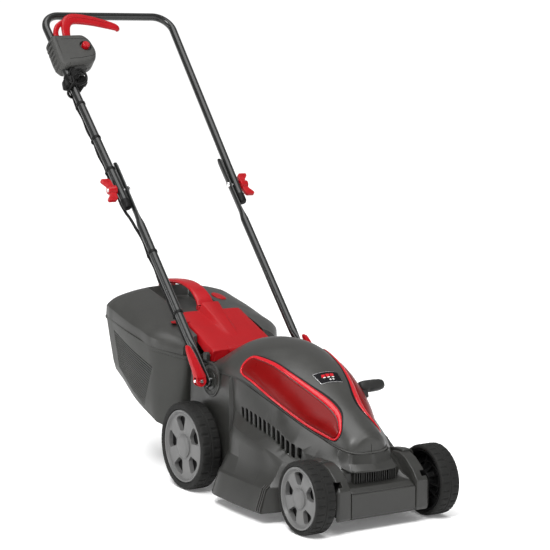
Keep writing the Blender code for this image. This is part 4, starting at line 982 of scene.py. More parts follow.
def build_wheel(end, name, side, radius, rim, first_window):
    centre = joint_place(f"{end}_{name}_wheel_spin")
    place = Matrix.Translation(centre)
    body = f"{end}_{name}_wheel"
    h = TYRE_HALF
    add(f"tyre_{end}_{name}_tread", tyre_mesh(radius, rim, side), "tyre", body, [f"tyre_{end}_{name}"],
        place=place, bevel=0.0004, limit=40, sharp=32)
    disc, cap = hub_mesh(rim, side, first_window)
    add(f"hub_{end}_{name}_disc", disc, "hub_plastic", body, [f"hub_{end}_{name}"], place=place, bevel=0.0009,
        segments=3, limit=32, sharp=40)
    dome = lathe([(0.0001, h - .0002), (cap * .55, h - .0004), (cap * .80, h - .0009), (cap * .90, h - .0022),
                  (cap, h - .0036), (cap + .0006, h - .0100), (cap * .7, h - .0110), (0.0001, h - .0110)],
                 steps=64, flip=side < 0)
    add(f"hub_{end}_{name}_cap", dome, "hub_plastic", body, place=place, sharp=40)
    well = lathe([(.0001, h - .0152), (rim - .0050, h - .0152), (rim - .0040, -.0120), (rim - .0006, -.0150),
                  (rim - .0006, -h + .002), (rim - .0030, -h + .002), (rim - .0060, -.0080),
                  (rim - .0100, -.0010),
                  (rim - .0120, -.0004), (rim - .0140, -.0012), (rim * .62, -.0020), (rim * .60, -.0060),
                  (rim * .57, -.0060), (rim * .55, -.0020), (rim * .36, -.0030), (rim * .30, -.0160),
                  (.0085, -.0190),
                  (.0054, -.0190), (.0054, h - .0170), (.0001, h - .0170)], steps=72, flip=side < 0)
    add(f"hub_{end}_{name}_back", well, "black_plastic", body, place=place, bevel=0.0005)
    ribs = []
    for k in range(10):
        turn = 2 * math.pi * k / 10 + 0.2
        rib = prism([(rim * .32, -.0145), (rim * .86, -.0020), (rim * .86, .0015), (rim * .32, .0015)],
                    -.0008, .0008, "Z")
        # drawn in (along the radius, along the axle)
        rib.transform(Matrix(((0, side, 0, 0), (1, 0, 0, 0), (0, 0, 1, 0), (0, 0, 0, 1))))
        rib.transform(Matrix.Rotation(turn, 4, "X"))
        ribs.append(rib)
    add(f"hub_{end}_{name}_ribs", joined(*ribs), "black_plastic", body, place=place,
        bevel=0.0003)


FRONT_SIZE = (.0698, .0604)
REAR_SIZE = (.0906, .0756)
for wheel_name, wheel_side in SIDES:
    build_wheel("front", wheel_name, wheel_side, *FRONT_SIZE, math.pi - math.radians(21))
    build_wheel("rear", wheel_name, wheel_side, *REAR_SIZE, math.pi - math.radians(30))


def build_height_control():
    """Grip and stem of the cutting-height lever."""
    pivot = joint_place("height_lever_swing")
    place = Matrix.Translation((0, pivot.y, pivot.z)) @ Matrix.Rotation(-math.radians(24), 4, "X")
    reach = 0.108
    stations = [(-.0085, .0070, .0060), (-.0070, .0100, .0085), (-.0035, .0122, .0108), (.0030, .0130, .0118),
                (.0100, .0132, .0122), (.0118, .0126, .0116), (.0136, .0134, .0123), (.0250, .0135, .0122),
                (.0400, .0130, .0116), (.0470, .0112, .0098), (.0505, .0082, .0070), (.0520, .0050, .0042)]
    path = [(.112 + x, 0, reach + .0022) for x, _, _ in stations]
    grip = sweep(path, [(a, b) for _, a, b in stations], across=(0, 0, 1), sides=28, power=0.72)
    add("lever_grip", grip, "grip_plastic", "height_lever", ["height_grip"], place=place,
        sharp=55)
    tip, slot = -.057, -.036
    outline = [(-.0085, tip), (-.0056, -.012), (-.0056, .040), (-.0062, reach - .004), (.0062, reach - .004),
               (.0056, .040), (.0056, -.012), (.0085, tip), (.0048, tip), (.0048, slot), (-.0048, slot),
               (-.0048, tip)]
    stem = carve(prism(outline, .1098, .1142, "X"), [rod(.0033, (.1, 0, 0), (.12, 0, 0))])
    add("lever_stem", stem, "black_plastic", "height_lever", ["height_lever"], place=place, bevel=0.0008)
    collar = prism(rounded([(-.0085, reach - .022), (.0085, reach - .022), (.0105, reach - .006),
                            (-.0105, reach - .006)], .003), .1062, .1178, "X")
    add("lever_collar", collar, "grip_plastic", "height_lever", place=place,
        bevel=0.0015,
        segments=3)


build_height_control()


# ------------------------------------------------------------ handle

TUBE_R = 0.009
HANDLE_TOP_V = 1.0213
BEND_R = 0.042
LEG_END_V = 0.458


def upper_x(v):
    return 0.1275 + 0.0385 * v


def build_upper_tube():
    lean = math.atan(0.0385)
    centre_v = HANDLE_TOP_V - BEND_R
    centre_x = upper_x(centre_v) - BEND_R / math.cos(lean)
    turns = np.linspace(-lean, math.pi / 2, 18)
    corner = [(centre_x + BEND_R * math.cos(t), centre_v + BEND_R * math.sin(t)) for t in turns]
    half = [(upper_x(v), v) for v in (LEG_END_V, .55, .65, .75, .85, .95)] + corner
    path = [(x, v, 0) for x, v in half] + [(-x, v, 0) for x, v in reversed(half)]
    add("handle_bar", sweep(path, TUBE_R, sides=28), "tube_paint", "upper_handle", ["upper_handle_tube"],
        place=HANDLE, sharp=50)
    for name, side in SIDES:
        x = side * upper_x(LEG_END_V)
        step = side * 0.0385
        ends = [(x + step * d, LEG_END_V + d, 0) for d in (.016, .0155, .001, -.003, -.0060, -.0075)]
        add(f"leg_cap_{name}", sweep(ends, [.0092, .0097, .0097, .0095, .0080, .0040], sides=28),
            "black_plastic",
            "upper_handle", place=HANDLE)


def build_lower_tubes():
    slope = (0.1315 - 0.1257) / 0.503
    flat = (.0042, .0118)
    for name, side in SIDES:
        stations = [(-.0158, .0042, .0030), (-.0148, .0042, .0068), (-.0120, .0042, .0100),
                    (-.0070, .0042, .0116),
                    (0, *flat), (.030, *flat), (.060, .0044, .0117), (.075, .0056, .0110),
                    (.088, .0076, .0098),
                    (.100, TUBE_R, TUBE_R), (.200, TUBE_R, TUBE_R), (.300, TUBE_R, TUBE_R),
                    (.405, TUBE_R, TUBE_R),
                    (.414, .0072, .0088), (.424, .0048, .0084), (.436, .0037, .0082), (.500, .0037, .0082),
                    (.566, .0037, .0082), (.5725, .0037, .0072), (.5765, .0037, .0052), (.5785, .0037, .0026)]
        path = [(side * (0.1257 + slope * v), v, 0) for v, _, _ in stations]
        tube = sweep(path, [(a, b) for _, a, b in stations], sides=32)
        add(f"lower_leg_{name}", tube, "tube_paint", "lower_handle", [f"lower_tube_{name}"], place=HANDLE,
            sharp=50)


def build_knobs():
    """Winged nuts with their washers, and the bolts they run on."""
    for name, side in SIDES:
        body = f"wing_knob_{name}"
        hub = lathe([(.0036, .1563), (.0098, .1563), (.0108, .1575), (.0108, .1610), (.0098, .1650),
                     (.0094, .1740),
                     (.0086, .1756), (.0060, .1760), (.0036, .1752)], steps=40, flip=side < 0,
                    centre=(0, KNOB_V, 0))
        wings = [(-.0300, .1652), (-.0240, .1606), (-.0090, .1592), (.0090, .1592), (.0240, .1606),
                 (.0300, .1652),
                 (.0300, .1822), (.0275, .1840), (.0225, .1836), (.0140, .1762), (.0080, .1742),
                 (-.0080, .1742),
                 (-.0140, .1762), (-.0225, .1836), (-.0275, .1840), (-.0300, .1822)]
        shape = rounded([(side * x, v + KNOB_V) for v, x in wings], .0022, 3)
        add(f"knob_{name}_wings", prism(shape, -.0046, .0046, "Z"), "red_plastic", body, [body], place=HANDLE,
            bevel=0.0016, segments=3, limit=40)
        add(f"knob_{name}_hub", hub, "red_plastic", body, place=HANDLE, bevel=0.0005)
        grips = []
        for v in (-.0255, -.0215, .0215, .0255):
            x = side * 0.1722
            grips.append(block((x - .0062, KNOB_V + v - .0008, -.0052),
                               (x + .0062, KNOB_V + v + .0008, .0052)))
        add(f"knob_{name}_grips", joined(*grips), "red_plastic", body, place=HANDLE, bevel=0.0004)
        core = lathe([(.0001, .1764), (.0042, .1764), (.0046, .1758), (.0046, .1700), (.0001, .1700)],
                     steps=6,
                     flip=side < 0, centre=(0, KNOB_V, 0))
        add(f"knob_{name}_insert", core, "bright_steel", "upper_handle", place=HANDLE,
            bevel=0.0003)
        bolt = lathe([(.0001, .1228), (.0045, .1230), (.0068, .1240), (.0076, .1258), (.0076, .1274),
                      (.0032, .1274),
                      (.0032, .1712), (.0001, .1712)], steps=36, flip=side < 0, centre=(0, KNOB_V, 0))
        add(f"knob_{name}_bolt", bolt, "bright_steel", "upper_handle", [f"knob_bolt_{name}"], place=HANDLE,
            bevel=0.0002)


def build_cams():
    """Quick-release levers at the handle's lower pivots."""
    slope = math.tan(math.pi / 2 - HANDLE_TILT)
    for name, side in SIDES:
        x0 = side * 0.1425
        turns = [math.radians(a) for a in range(170, 375, 12)]
        outline = [(.0116 * math.cos(t), .0116 * math.sin(t)) for t in turns]
        outline += [(.0112, .0100), (.0104, .0220), (.0086, .0420), (.0062, .0590), (.0040, .0650),
                    (.0006, .0668),
                    (-.0026, .0645), (-.0046, .0560), (-.0072, .0300), (-.0096, .0120)]
        rows = []
        for y, shrink in ((-.0090, .0012), (-.0082, .0004), (-.0068, 0), (.0068, 0), (.0082, .0004),
                          (.0090, .0012)):
            row = []
            for x, z in outline:
                reach = math.hypot(x, z)
                k = 1 - shrink / max(reach, .004)
                lean = max(0.0, z - 0.013) * slope
                taper = 1.0 - 0.35 * max(0.0, min(1.0, (z - 0.012) / 0.055))
                row.append((side * x * k, y * taper + lean, z * k))
            rows.append(row)
        lever = loft(rows, closed=True, cap_first=True, cap_last=True)
        lever = carve(lever, [block((-.0145, -.0045, -.0145), (.0145, .0045, .0075))])
        place = Matrix.Translation((x0, PIVOT.y, PIVOT.z))
        add(f"cam_{name}_lever", lever, "red_plastic", f"cam_lever_{name}", [f"cam_lever_{name}"],
            place=place,
            bevel=0.0011, segments=3, limit=35, sharp=50)
        pins = joined(lathe([(.0001, .0104), (.0032, .0104), (.0036, .0096), (.0036, .0088), (.0001, .0088)],
                            steps=24, axis="Y"),
                      lathe([(.0001, -.0104), (.0032, -.0104), (.0036, -.0096), (.0036, -.0088),
                             (.0001, -.0088)],
                            steps=24, axis="Y"))
        add(f"cam_{name}_pin_heads", pins, "bright_steel", f"cam_lever_{name}", place=place)
        face = lathe([(.0001, .0012), (.0030, .0010), (.0036, .0002), (.0036, -.0008), (.0001, -.0008)],
                     steps=24,
                     flip=side < 0, centre=(side * .0114, 0, 0))
        add(f"cam_{name}_stud", face, "bright_steel", f"cam_lever_{name}", place=place)
        fixed = Matrix.Translation((0, PIVOT.y, PIVOT.z))
        shank = joined(rod(.0040, (side * .1000, 0, 0), (side * .1418, 0, 0)),
                       rod(.0028, (side * .1425, -.0085, 0), (side * .1425, .0085, 0)))
        head = prism([(.0085 * math.cos(a), .0085 * math.sin(a)) for a in np.linspace(0, 2 * math.pi,
                                                                                      7)[:-1]],
                     *sorted((side * .0985, side * .1025)), "X")
        add(f"pivot_{name}_bolt", joined(shank, head), "steel", "chassis", [f"pivot_bolt_{name}"],
            place=fixed,
            bevel=0.0004)
        washer = lathe([(.0046, .1310), (.0125, .1310), (.0130, .1316), (.0130, .1322), (.0046, .1326)],
                       steps=40,
                       flip=side < 0)
        add(f"pivot_{name}_washer", washer, "black_plastic", "lower_handle", place=fixed)


build_upper_tube()
build_lower_tubes()
build_knobs()
build_cams()


# ------------------------------------------------------------ switch box

BOX_OUTLINE = [(-.1743, .9370), (-.1706, .9433), (-.0925, .9460), (-.0794, .9298), (-.0739, .8956),
               (-.0832, .8704), (-.0999, .8587), (-.1250, .8542), (-.1659, .8479), (-.1762, .8614),
               (-.1780, .8776), (-.1771, .9091)]
BOX_DEPTH = 0.022
BUTTON_AT = (-.0985, .9080)


def inset(outline, reach):
    """The outline moved inward."""
    points = [Vector((*p, 0)) for p in outline]
    area = sum(a.x * b.y - b.x * a.y for a, b in zip(points, points[1:] + points[:1]))
    turn = 1 if area > 0 else -1
    result = []
    for before, here, after in zip([points[-1]] + points[:-1], points, points[1:] + points[:1]):
        ahead = (after - before).normalized()
        result.append((here.x - turn * ahead.y * reach, here.y + turn * ahead.x * reach))
    return result


def box_half(outline, levels):
    rows = []
    for n, reach in levels:
        rows.append([(x, v, n) for x, v in inset(outline, reach)])
    return loft(rows, closed=True, cap_first=True, cap_last=True)


def groove(path, wide, depth, level):
    """Narrow channel cut along a line on the box's face."""
    return sweep([(x, v, level) for x, v in path], (wide / 2, depth), sides=8)


def build_switch_box():
    outline = rounded(BOX_OUTLINE, .010, 5)
    top = BOX_DEPTH
    front = box_half(outline, [(.0003, .0008), (.0008, 0), (.0130, 0), (.0165, .0006), (.0190, .0020),
                               (.0208, .0044), (.0217, .0075), (top, .0110)])
    back = box_half(outline, [(-.0003, .0008), (-.0008, 0), (-.0130, 0), (-.0170, .0008), (-.0198, .0030),
                              (-.0214, .0062), (-top, .0100)])
    leg = rod(.0094, (-upper_x(.78), .78, 0), (-upper_x(.97), .97, 0))
    x, v = BUTTON_AT
    dish = lathe([(.0001, .0175), (.0125, .0175), (.0140, .0186), (.0152, .0240), (.0001, .0240)], axis="Z",
                 steps=40, centre=(x, v, 0))
    tools = [leg, dish, block((-.1445, .9300, .0035), (-.1195, .9560, .0195)),
             groove([(-.1560, .9420), (-.1560, .9200), (-.1535, .8900), (-.1520, .8640), (-.1550, .8500)],
                    .0016, .0012, .0206),
             groove([(-.1535, .9285), (-.1250, .9300), (-.0950, .9310), (-.0850, .9290)], .0014, .0012,
                    .0212),
             groove([(-.1500, .8690), (-.1200, .8720), (-.0900, .8790), (-.0760, .8850)], .0014, .0012,
                    .0212)]
    front = carve(front, tools[:3])
    front = carve(front, tools[3:])
    back = carve(back, [leg])
    add("box_front", front, "box_plastic", "upper_handle", ["switch_box_front"], place=HANDLE, bevel=0.0004,
        sharp=42)
    add("box_back", back, "box_plastic", "upper_handle", ["switch_box_back"], place=HANDLE, bevel=0.0004,
        sharp=42)
    ribs = []
    for k in range(6):
        v = .8630 + .0132 * k
        out = -.1768 + (.0015 if k in (0, 5) else 0)
        path = [(-.1660, v - .001, .0182), (-.1722, v, .0150), (out, v + .001, .0085),
                (out - .0006, v + .001, .0000), (out, v + .001, -.0085), (-.1722, v, -.0150)]
        ribs.append(sweep(spline(path, 4), (.0044, .0030), across=(0, 1, 0), sides=14, round_ends=True))
    add("box_grip_ribs", joined(*ribs), "box_plastic", "upper_handle", place=HANDLE, sharp=60)
    ring = lathe([(.0118, .0190), (.0128, .0206), (.0140, .0222), (.0148, .0222), (.0158, .0205),
                  (.0150, .0188)],
                 axis="Z", steps=48, centre=(*BUTTON_AT, 0))
    add("box_button_ring", ring, "grip_plastic", "upper_handle", place=HANDLE)
    screws = []
    for x, v in ((-.0890, .8800), (-.1430, .8620), (-.0880, .9330)):
        screws.append(lathe([(.0001, -.0209), (.0030, -.0211), (.0036, -.0205), (.0036, -.0190),
                             (.0001, -.0190)],
                            axis="Z", steps=24, centre=(x, v, -.0008)))
    add("box_screws", joined(*screws), "steel", "upper_handle", place=HANDLE)
    slot_plate = [(-.1450, .8400), (-.1130, .8420), (-.1170, .8660), (-.1420, .8660)]
    add("box_inlet_shroud", prism(rounded(slot_plate, .004), -.0175, .0150), "grip_plastic", "upper_handle",
        place=HANDLE, bevel=0.0015, segments=3)


def build_button():
    place = HANDLE @ Matrix.Translation((*BUTTON_AT, BOX_DEPTH))
    cap = lathe([(.0001, .0066), (.0050, .0068), (.0074, .0072), (.0084, .0064), (.0090, .0040),
                 (.0090, -.0050),
                 (.0118, -.0055), (.0118, -.0088), (.0001, -.0088)], axis="Z", steps=48)
    add("button_cap", cap, "red_plastic", "lock_button", ["lock_button"], place=place, sharp=50)


def build_start_lever():
    path = [(-.1320, .9180, .0110), (-.1320, .9300, .0112), (-.1320, .9400, .0130), (-.1318, .9500, .0170),
            (-.1310, .9600, .0210), (-.1280, .9710, .0242), (-.1195, .9815, .0258), (-.1060, .9870, .0262),
            (-.0820, .9865, .0252), (-.0550, .9825, .0238), (-.0280, .9755, .0225), (-.0060, .9685, .0215),
            (.0020, .9645, .0200), (.0042, .9615, .0170)]
    sizes = [(.0090, .0044), (.0090, .0046), (.0092, .0048), (.0096, .0050), (.0104, .0052), (.0116, .0054),
             (.0128, .0056), (.0132, .0056), (.0128, .0054), (.0118, .0052), (.0106, .0048), (.0090, .0044),
             (.0076, .0038), (.0060, .0030)]
    line = spline(path, 4)
    marks = np.linspace(0, len(path) - 1, len(line))
    smooth = [(float(np.interp(m, range(len(sizes)), [s[0] for s in sizes])),
               float(np.interp(m, range(len(sizes)), [s[1] for s in sizes]))) for m in marks]
    add("start_lever_blade", sweep(line, smooth, across=(0, 0, 1), sides=28, power=0.62, round_ends=True),
        "red_plastic", "switch_lever", ["switch_lever"], place=HANDLE, sharp=60)
    leg = spline([(-.1400, .9290, .0080), (-.1500, .9400, .0080), (-.1545, .9500, .0105),
                  (-.1530, .9610, .0145),
                  (-.1460, .9720, .0190), (-.1330, .9800, .0225)], 4)
    add("start_lever_leg", sweep(leg, (.0062, .0046), across=(0, 0, 1), sides=18, power=0.7, round_ends=True),
        "red_plastic", "switch_lever", place=HANDLE, sharp=60)
    rib = spline([(-.1190, .9840, .0312), (-.1000, .9885, .0318), (-.0600, .9845, .0296),
                  (-.0200, .9750, .0272),
                  (-.0060, .9710, .0262)], 5)
    add("start_lever_rib", sweep(rib, (.0016, .0012), across=(0, 0, 1), sides=12, round_ends=True),
        "red_plastic",
        "switch_lever", place=HANDLE, sharp=60)


BUNDLE = HANDLE @ Matrix.Translation((0, .009, 0))


def build_inlet():
    """Mains plug under the box, the clip on the tube and the captive loop of its tail."""
    shape = rounded([(-.1430, .8060), (-.1150, .8060), (-.1160, .8292), (-.1420, .8292)], .005)
    body = box_half(shape, [(-.0170, .0020), (-.0150, .0004), (-.0130, 0), (-.0030, 0), (-.0010, .0010),
                            (.0002, .0030)])
    add("plug_body", body, "black_plastic", "upper_handle", ["mains_inlet"], place=BUNDLE, sharp=45)
    path, sizes = [], []
    for k in range(19):
        along = k / 18
        path.append((-.1290 - .0200 * along, .8085 - .0230 * along, -.0085 - .0075 * along))
        sizes.append((.0085 if k % 3 else .0070) - .0016 * k / 18)
    add("plug_sleeve", sweep(path, sizes, sides=24), "cable", "upper_handle", place=BUNDLE, sharp=30)
    v0 = .812
    lean = Vector((-.0385, 1, 0)).normalized()
    centre = Vector((-upper_x(v0), v0, 0))
    clip = sweep([centre + lean * d for d in (-.0130, -.0120, -.0040, .0040, .0120, .0130)],
                 [.0100, .0124, .0134, .0134, .0124, .0100], sides=28)
    add("cord_clip_body", clip, "black_plastic", "upper_handle", place=BUNDLE, bevel=0.0008)
    lump = rounded([(-.1835, .7880), (-.1680, .7850), (-.1630, .8010), (-.1660, .8130), (-.1790, .8120)],
                   .005)
    add("cord_clip_lug", box_half(lump, [(-.0080, .0030), (-.0060, .0008), (-.0030, 0), (.0060, 0),
                                         (.0090, .0010),
                                         (.0110, .0032)]), "black_plastic", "upper_handle", place=BUNDLE,
        sharp=45)
    tab = rounded([(-.1600, .8060), (-.1380, .8120), (-.1360, .8330), (-.1500, .8400), (-.1620, .8320)], .006)
    add("cord_clip_tab", box_half(tab, [(.0020, .0030), (.0040, .0008), (.0070, 0), (.0140, .0006),
                                        (.0165, .0030)]),
        "black_plastic", "upper_handle", place=BUNDLE, sharp=45)
    loop = [(-.1520, .8240, .0120), (-.1440, .8315, .0150), (-.1335, .8305, .0160), (-.1255, .8220, .0155),
            (-.1240, .8110, .0145), (-.1285, .7990, .0140), (-.1380, .7920, .0135), (-.1500, .7900, .0130),
            (-.1610, .7930, .0120), (-.1690, .7990, .0100)]
    add("cord_loop_front", sweep(spline(loop, 6), .0030, sides=16, round_ends=True), "cable", "upper_handle",
        place=BUNDLE, sharp=60)
    tail = [(-.1490, .7860, -.0160), (-.1530, .7800, -.0170), (-.1640, .7760, -.0150),
            (-.1740, .7790, -.0040),
            (-.1700, .7850, .0090), (-.1600, .7960, .0135), (-.1590, .8100, .0150)]
    add("cord_loop_back", sweep(spline(tail, 6), .0030, sides=16, round_ends=True), "cable", "upper_handle",
        place=BUNDLE, sharp=60)
    hooks = [[(-.1480, .8440, .0100), (-.1530, .8360, .0150), (-.1590, .8280, .0150), (-.1640, .8180, .0120)],
             [(-.1290, .8370, .0120), (-.1330, .8290, .0170), (-.1420, .8200, .0175), (-.1520, .8130, .0160)]]
    add("cord_hooks", joined(*[sweep(spline(h, 5), .0026, sides=14, round_ends=True) for h in hooks]),
        "black_plastic",
        "upper_handle", place=BUNDLE, sharp=60)


build_switch_box()
build_button()
build_start_lever()
build_inlet()


# ------------------------------------------------------------ held motor cable

CABLE_R = 0.0065 / 2
UPPER_ROUTE = [(-.1628, .8350, -.0122), (-.1618, .8000, -.0126), (-.1603, .7600, -.0126),
               (-.1541, .6000, -.0126),
               (-.1518, .5400, -.0128), (-.1490, .4900, -.0134), (-.1452, .4500, -.0146)]
LOWER_ROUTE = [(-.1448, .4470, -.0146), (-.1350, .4000, -.0132), (-.1336, .3600, -.0126),
               (-.1320, .2200, -.0126),
               (-.1306, .1300, -.0128), (-.1270, .0920, -.0155), (-.1180, .0720, -.0200),
               (-.1090, .0660, -.0210)]
DECK_ROUTE = [(-.10810, .46497, .26283), (-.09955, .46179, .2580), (-.0900, .4560, .2550),
              (-.0820, .4470, .2545),
              (-.0780, .4300, .2560), (-.0720, .4000, .2555), (-.0560, .3500, .2500), (-.0420, .2900, .2430),
              (-.0250, .2250, .2430)]


def build_cable():
    route = [Vector(p) for p in UPPER_ROUTE + LOWER_ROUTE[:-3]]
    line = even(spline(route, 12), 0.006)
    wavy = []
    for k, p in enumerate(line):
        swing = 0.0009 * math.sin(p.y * 2 * math.pi / 0.070) * min(1.0, k / 6, (len(line) - 1 - k) / 6)
        wavy.append(p + Vector((swing, 0, swing * 0.4)))
    cord = moved(sweep(wavy, CABLE_R, sides=14), HANDLE)
    item = add("motor_cord_handle", cord, "cable", None, ["upper_cable", "lower_cable"],
               place=Matrix.Identity(4),
               sharp=60)
    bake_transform(item)
    low = [HANDLE @ Vector(p) for p in LOWER_ROUTE[-4:]] + [BODY @ Vector(p) for p in DECK_ROUTE]
    line = even(spline(low, 12), 0.005)
    item = add("motor_cord_deck", sweep(line, CABLE_R, sides=14), "cable", None, ["deck_cable"],
               place=Matrix.Identity(4), sharp=60)
    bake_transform(item)
    clips = [(v, -upper_x(v), at, "upper_handle")
             for v, at in ((.750, (-.1599, -.0126)), (.650, (-.1560, -.0126)), (.560, (-.1526, -.0127)))]
    for v, cable_at in ((.330, (-.1333, -.0126)), (.170, (-.1313, -.0127))):
        clips.append((v, -(0.1257 + 0.01153 * v), cable_at, "lower_handle"))
    for body in ("upper_handle", "lower_handle"):
        parts = []
        for v, x, (cx, cn), rider in clips:
            if rider != body:
                continue
            parts.append(lathe([(.0090, -.0032), (.0100, -.0032), (.0104, -.0024), (.0104, .0024),
                                (.0100, .0032),
                                (.0090, .0032)], axis="Y", steps=32, centre=(x, v, 0)))
            parts.append(lathe([(.0034, -.0032), (.0046, -.0032), (.0048, -.0024), (.0048, .0024),
                                (.0046, .0032),
                                (.0034, .0032)], axis="Y", steps=24, centre=(cx, v, cn)))
        add(f"cable_clips_{body}", joined(*parts), "black_plastic", body, place=HANDLE,
            sharp=50)


build_cable()


# ------------------------------------------------------------ rear flap

def flap_top(y):
    return 0.2820 + (y - 0.470) * 0.417


def build_flap():
    rows = []
    for y in [.4605, .4625, .466] + list(np.linspace(.470, .603, 30)) + [.6070, .6090]:
        y = float(y)
        rise = max(0.0, (y - 0.503) / 0.106)
        bulge = math.sin(min(1.0, rise) * math.pi / 2) ** 0.8 if rise > 0 else 0.0
        rib = 0.0165 * rise + 0.0005 * bulge
        rib_half = 0.0095 + 0.0135 * rise
        skirt = 0.0265 - 0.022 * max(0.0, (y - 0.4605) / 0.1485)
        drop = {.4605: .0040, .4625: .0016}.get(y, 0.0)
        level = flap_top(max(y, .467)) - drop
        edge = 0.0800 - 0.004 * rise
        half = [(edge, level - skirt), (edge - .0004, level - skirt * .5), (edge - .0008, level - .0045),
                (edge - .0026, level - .0014), (edge - .0060, level), (.058, level + .0006),
                (.040, level + .0008),
                (rib_half + .0100, level + .0008), (rib_half + .0050, level + .0012 + .02 * rib),
                (rib_half + .0010, level + .0010 + .55 * rib), (rib_half - .0016, level + .0008 + .93 * rib),
                (rib_half - .0050, level + .0008 + 1.03 * rib), (0, level + .0008 + 1.06 * rib)]
        rows.append([(-x, y, z) for x, z in half] + [(x, y, z) for x, z in reversed(half[:-1])])
    panel = loft(rows, cap_first=True)
    panel = shell(panel, .0024)
    panel = carve(panel, [rod(.0034, (-.1, .474, .266), (.1, .474, .266))])
    add("flap_panel", panel, "flap_red", "rear_flap", ["rear_flap"], bevel=0.0006,
        limit=35,
        sharp=42)
    lip = []
    for t in np.linspace(0, 1, 9):
        turn = t * math.pi / 2
        y = .4700 - .0125 * math.sin(turn)
        z = .2832 - .0135 * (1 - math.cos(turn))
        row = []
        for k in range(15):
            u = k / 14 * 2 - 1
            bow = (1 - u * u) ** 0.5 if abs(u) < 1 else 0.0
            wide = .0400 - .0020 * t
            row.append((u * wide, y + .0020 * (1 - bow) * t, z + .0009 * bow))
        lip.append(row)
    add("flap_finger_lip", shell(loft(lip), .0018), "flap_red", "rear_flap", bevel=0.0006)
    for name, side in SIDES:
        wedge = [(.0445, .4580, .2560), (.0770, .4590, .2550), (.0790, .4640, .2560), (.0460, .4640, .2560)]
        top = [(.0430, .4600, .2780), (.0700, .4615, .2785), (.0770, .4690, .2806), (.0450, .4700, .2826)]
        facet = loft([[(side * x, y, z) for x, y, z in ring] for ring in (wedge, top)], closed=True,
                     cap_first=True,
                     cap_last=True)
        add(f"flap_corner_{name}", facet, "flap_red", "rear_flap", bevel=0.0009,
            segments=3)

    ear = rounded([(-.0700, .5700), (-.1060, .5800), (-.1085, .5920), (-.0660, .6150)], .005)
    add("flap_ear", prism(ear, .3222, .3256), "flap_red", "rear_flap", bevel=0.0009)


build_flap()


# ------------------------------------------------------------ catcher

def catcher_floor(y):
    return 0.080 + (y - 0.545) * 0.475


def catcher_crease(y):
    return 0.283 + (y - 0.510) * 0.223


CATCHER_COLUMNS = [
    [(0, .545), (0, .532, .094), (0, .524, .180), (0, .520, .262)],
    [(.085, .545), (.088, .532, .094), (.090, .524, .180), (.090, .520, .262)],
    [(.105, .552), (.116, .540, .097), (.118, .530, .180), (.116, .523, .262)],
    [(.128, .595), (.146, .590, .115), (.152, .588, .190), (.155, .586, .275)],
    [(.136, .670), (.152, .675, .152), (.158, .680, .220), (.162, .685, .295)],
    [(.130, .755), (.146, .775, .198), (.152, .788, .255), (.156, .800, .318)],
    [(.100, .768), (.110, .790, .205), (.114, .804, .260), (.118, .817, .3215)],
    [(0, .770), (0, .793, .206), (0, .808, .260), (0, .822, .3225)],
]
LID_STATIONS = [(.523, .116, .262, 0.0), (.550, .135, .268, 0.0), (.586, .155, .275, 0.0),
                (.640, .159, .286, 0.0),
                (.700, .162, .298, 0.0), (.760, .160, .310, 0.0), (.790, .158, .316, 0.001),
                (.808, .150, .319, .006), (.822, .118, .3225, .022)]


def build_catcher_box():
    levels = []
    for column_points in CATCHER_COLUMNS:
        x, y = column_points[0]
        points = [Vector((x, y, catcher_floor(y)))] + [Vector(p) for p in column_points[1:]]
        levels.append(even(spline(points, 4), 0.001))
    count = 10
    levels = [[line[round(k)] for k in np.linspace(0, len(line) - 1, count)] for line in levels]
    rings = []
    for k in range(count):
        corners = [line[k] for line in levels]
        half = corners[:1] + spline(corners[1:4], 5)[:-1] + spline(corners[3:6],
                                                                   5)[:-1] + spline(corners[5:7], 4)
        half += corners[7:]
        rings.append(half + [Vector((-p.x, p.y, p.z)) for p in reversed(half) if p.x > 1e-6])
    low = [Vector((p.x * .97, p.y + (0.65 - p.y) * .03, p.z - .0006)) for p in rings[0]]
    body = loft([low] + rings, closed=True, cap_first=True)
    body = shell(body, .0024)
    tools = [block((-0.088, 0.500, 0.135), (0.088, 0.560, 0.232))]
    body = carve(body, tools)
    rear_high, front_high = Vector((0, .762, .2880)), Vector((0, .590, .2300))
    front_low, rear_low = Vector((0, .632, .1420)), Vector((0, .748, .2100))
    slits = []
    count = 18
    for k in range(count):
        t = k / (count - 1)
        a, b = rear_high.lerp(rear_low, t), front_high.lerp(front_low, t)
        half_gap = .0012
        for side in (-1, 1):
            x0, x1 = sorted((side * .1400, side * .1700))
            slits.append(prism([(a.y, a.z - half_gap), (b.y, b.z - half_gap), (b.y, b.z + half_gap),
                                (a.y, a.z + half_gap)], x0, x1, "X"))
    body = carve(body, slits)
    add("catcher_box", body, "catcher_plastic", "catcher", ["catcher_lower"],
        bevel=0.0005,
        segments=1, limit=50, sharp=45)
    rim = []
    for half_point in rings[-1]:
        rim.append(half_point)
    band = []
    for grow, z in ((0.0, -.0070), (.0017, -.0062), (.0021, -.0030), (.0017, .0004), (-.0020, .0004)):
        row = []
        for i, p in enumerate(rim):
            ahead = rim[(i + 1) % len(rim)] - rim[i - 1]
            out = Vector((ahead.y, -ahead.x, 0)).normalized()
            if out.dot(Vector((p.x, p.y - .66, 0))) < 0:
                out = -out
            row.append(p + out * grow + Vector((0, 0, z)))
        band.append(row)
    add("catcher_rim", loft(band, closed=True), "catcher_plastic", "catcher", sharp=40)


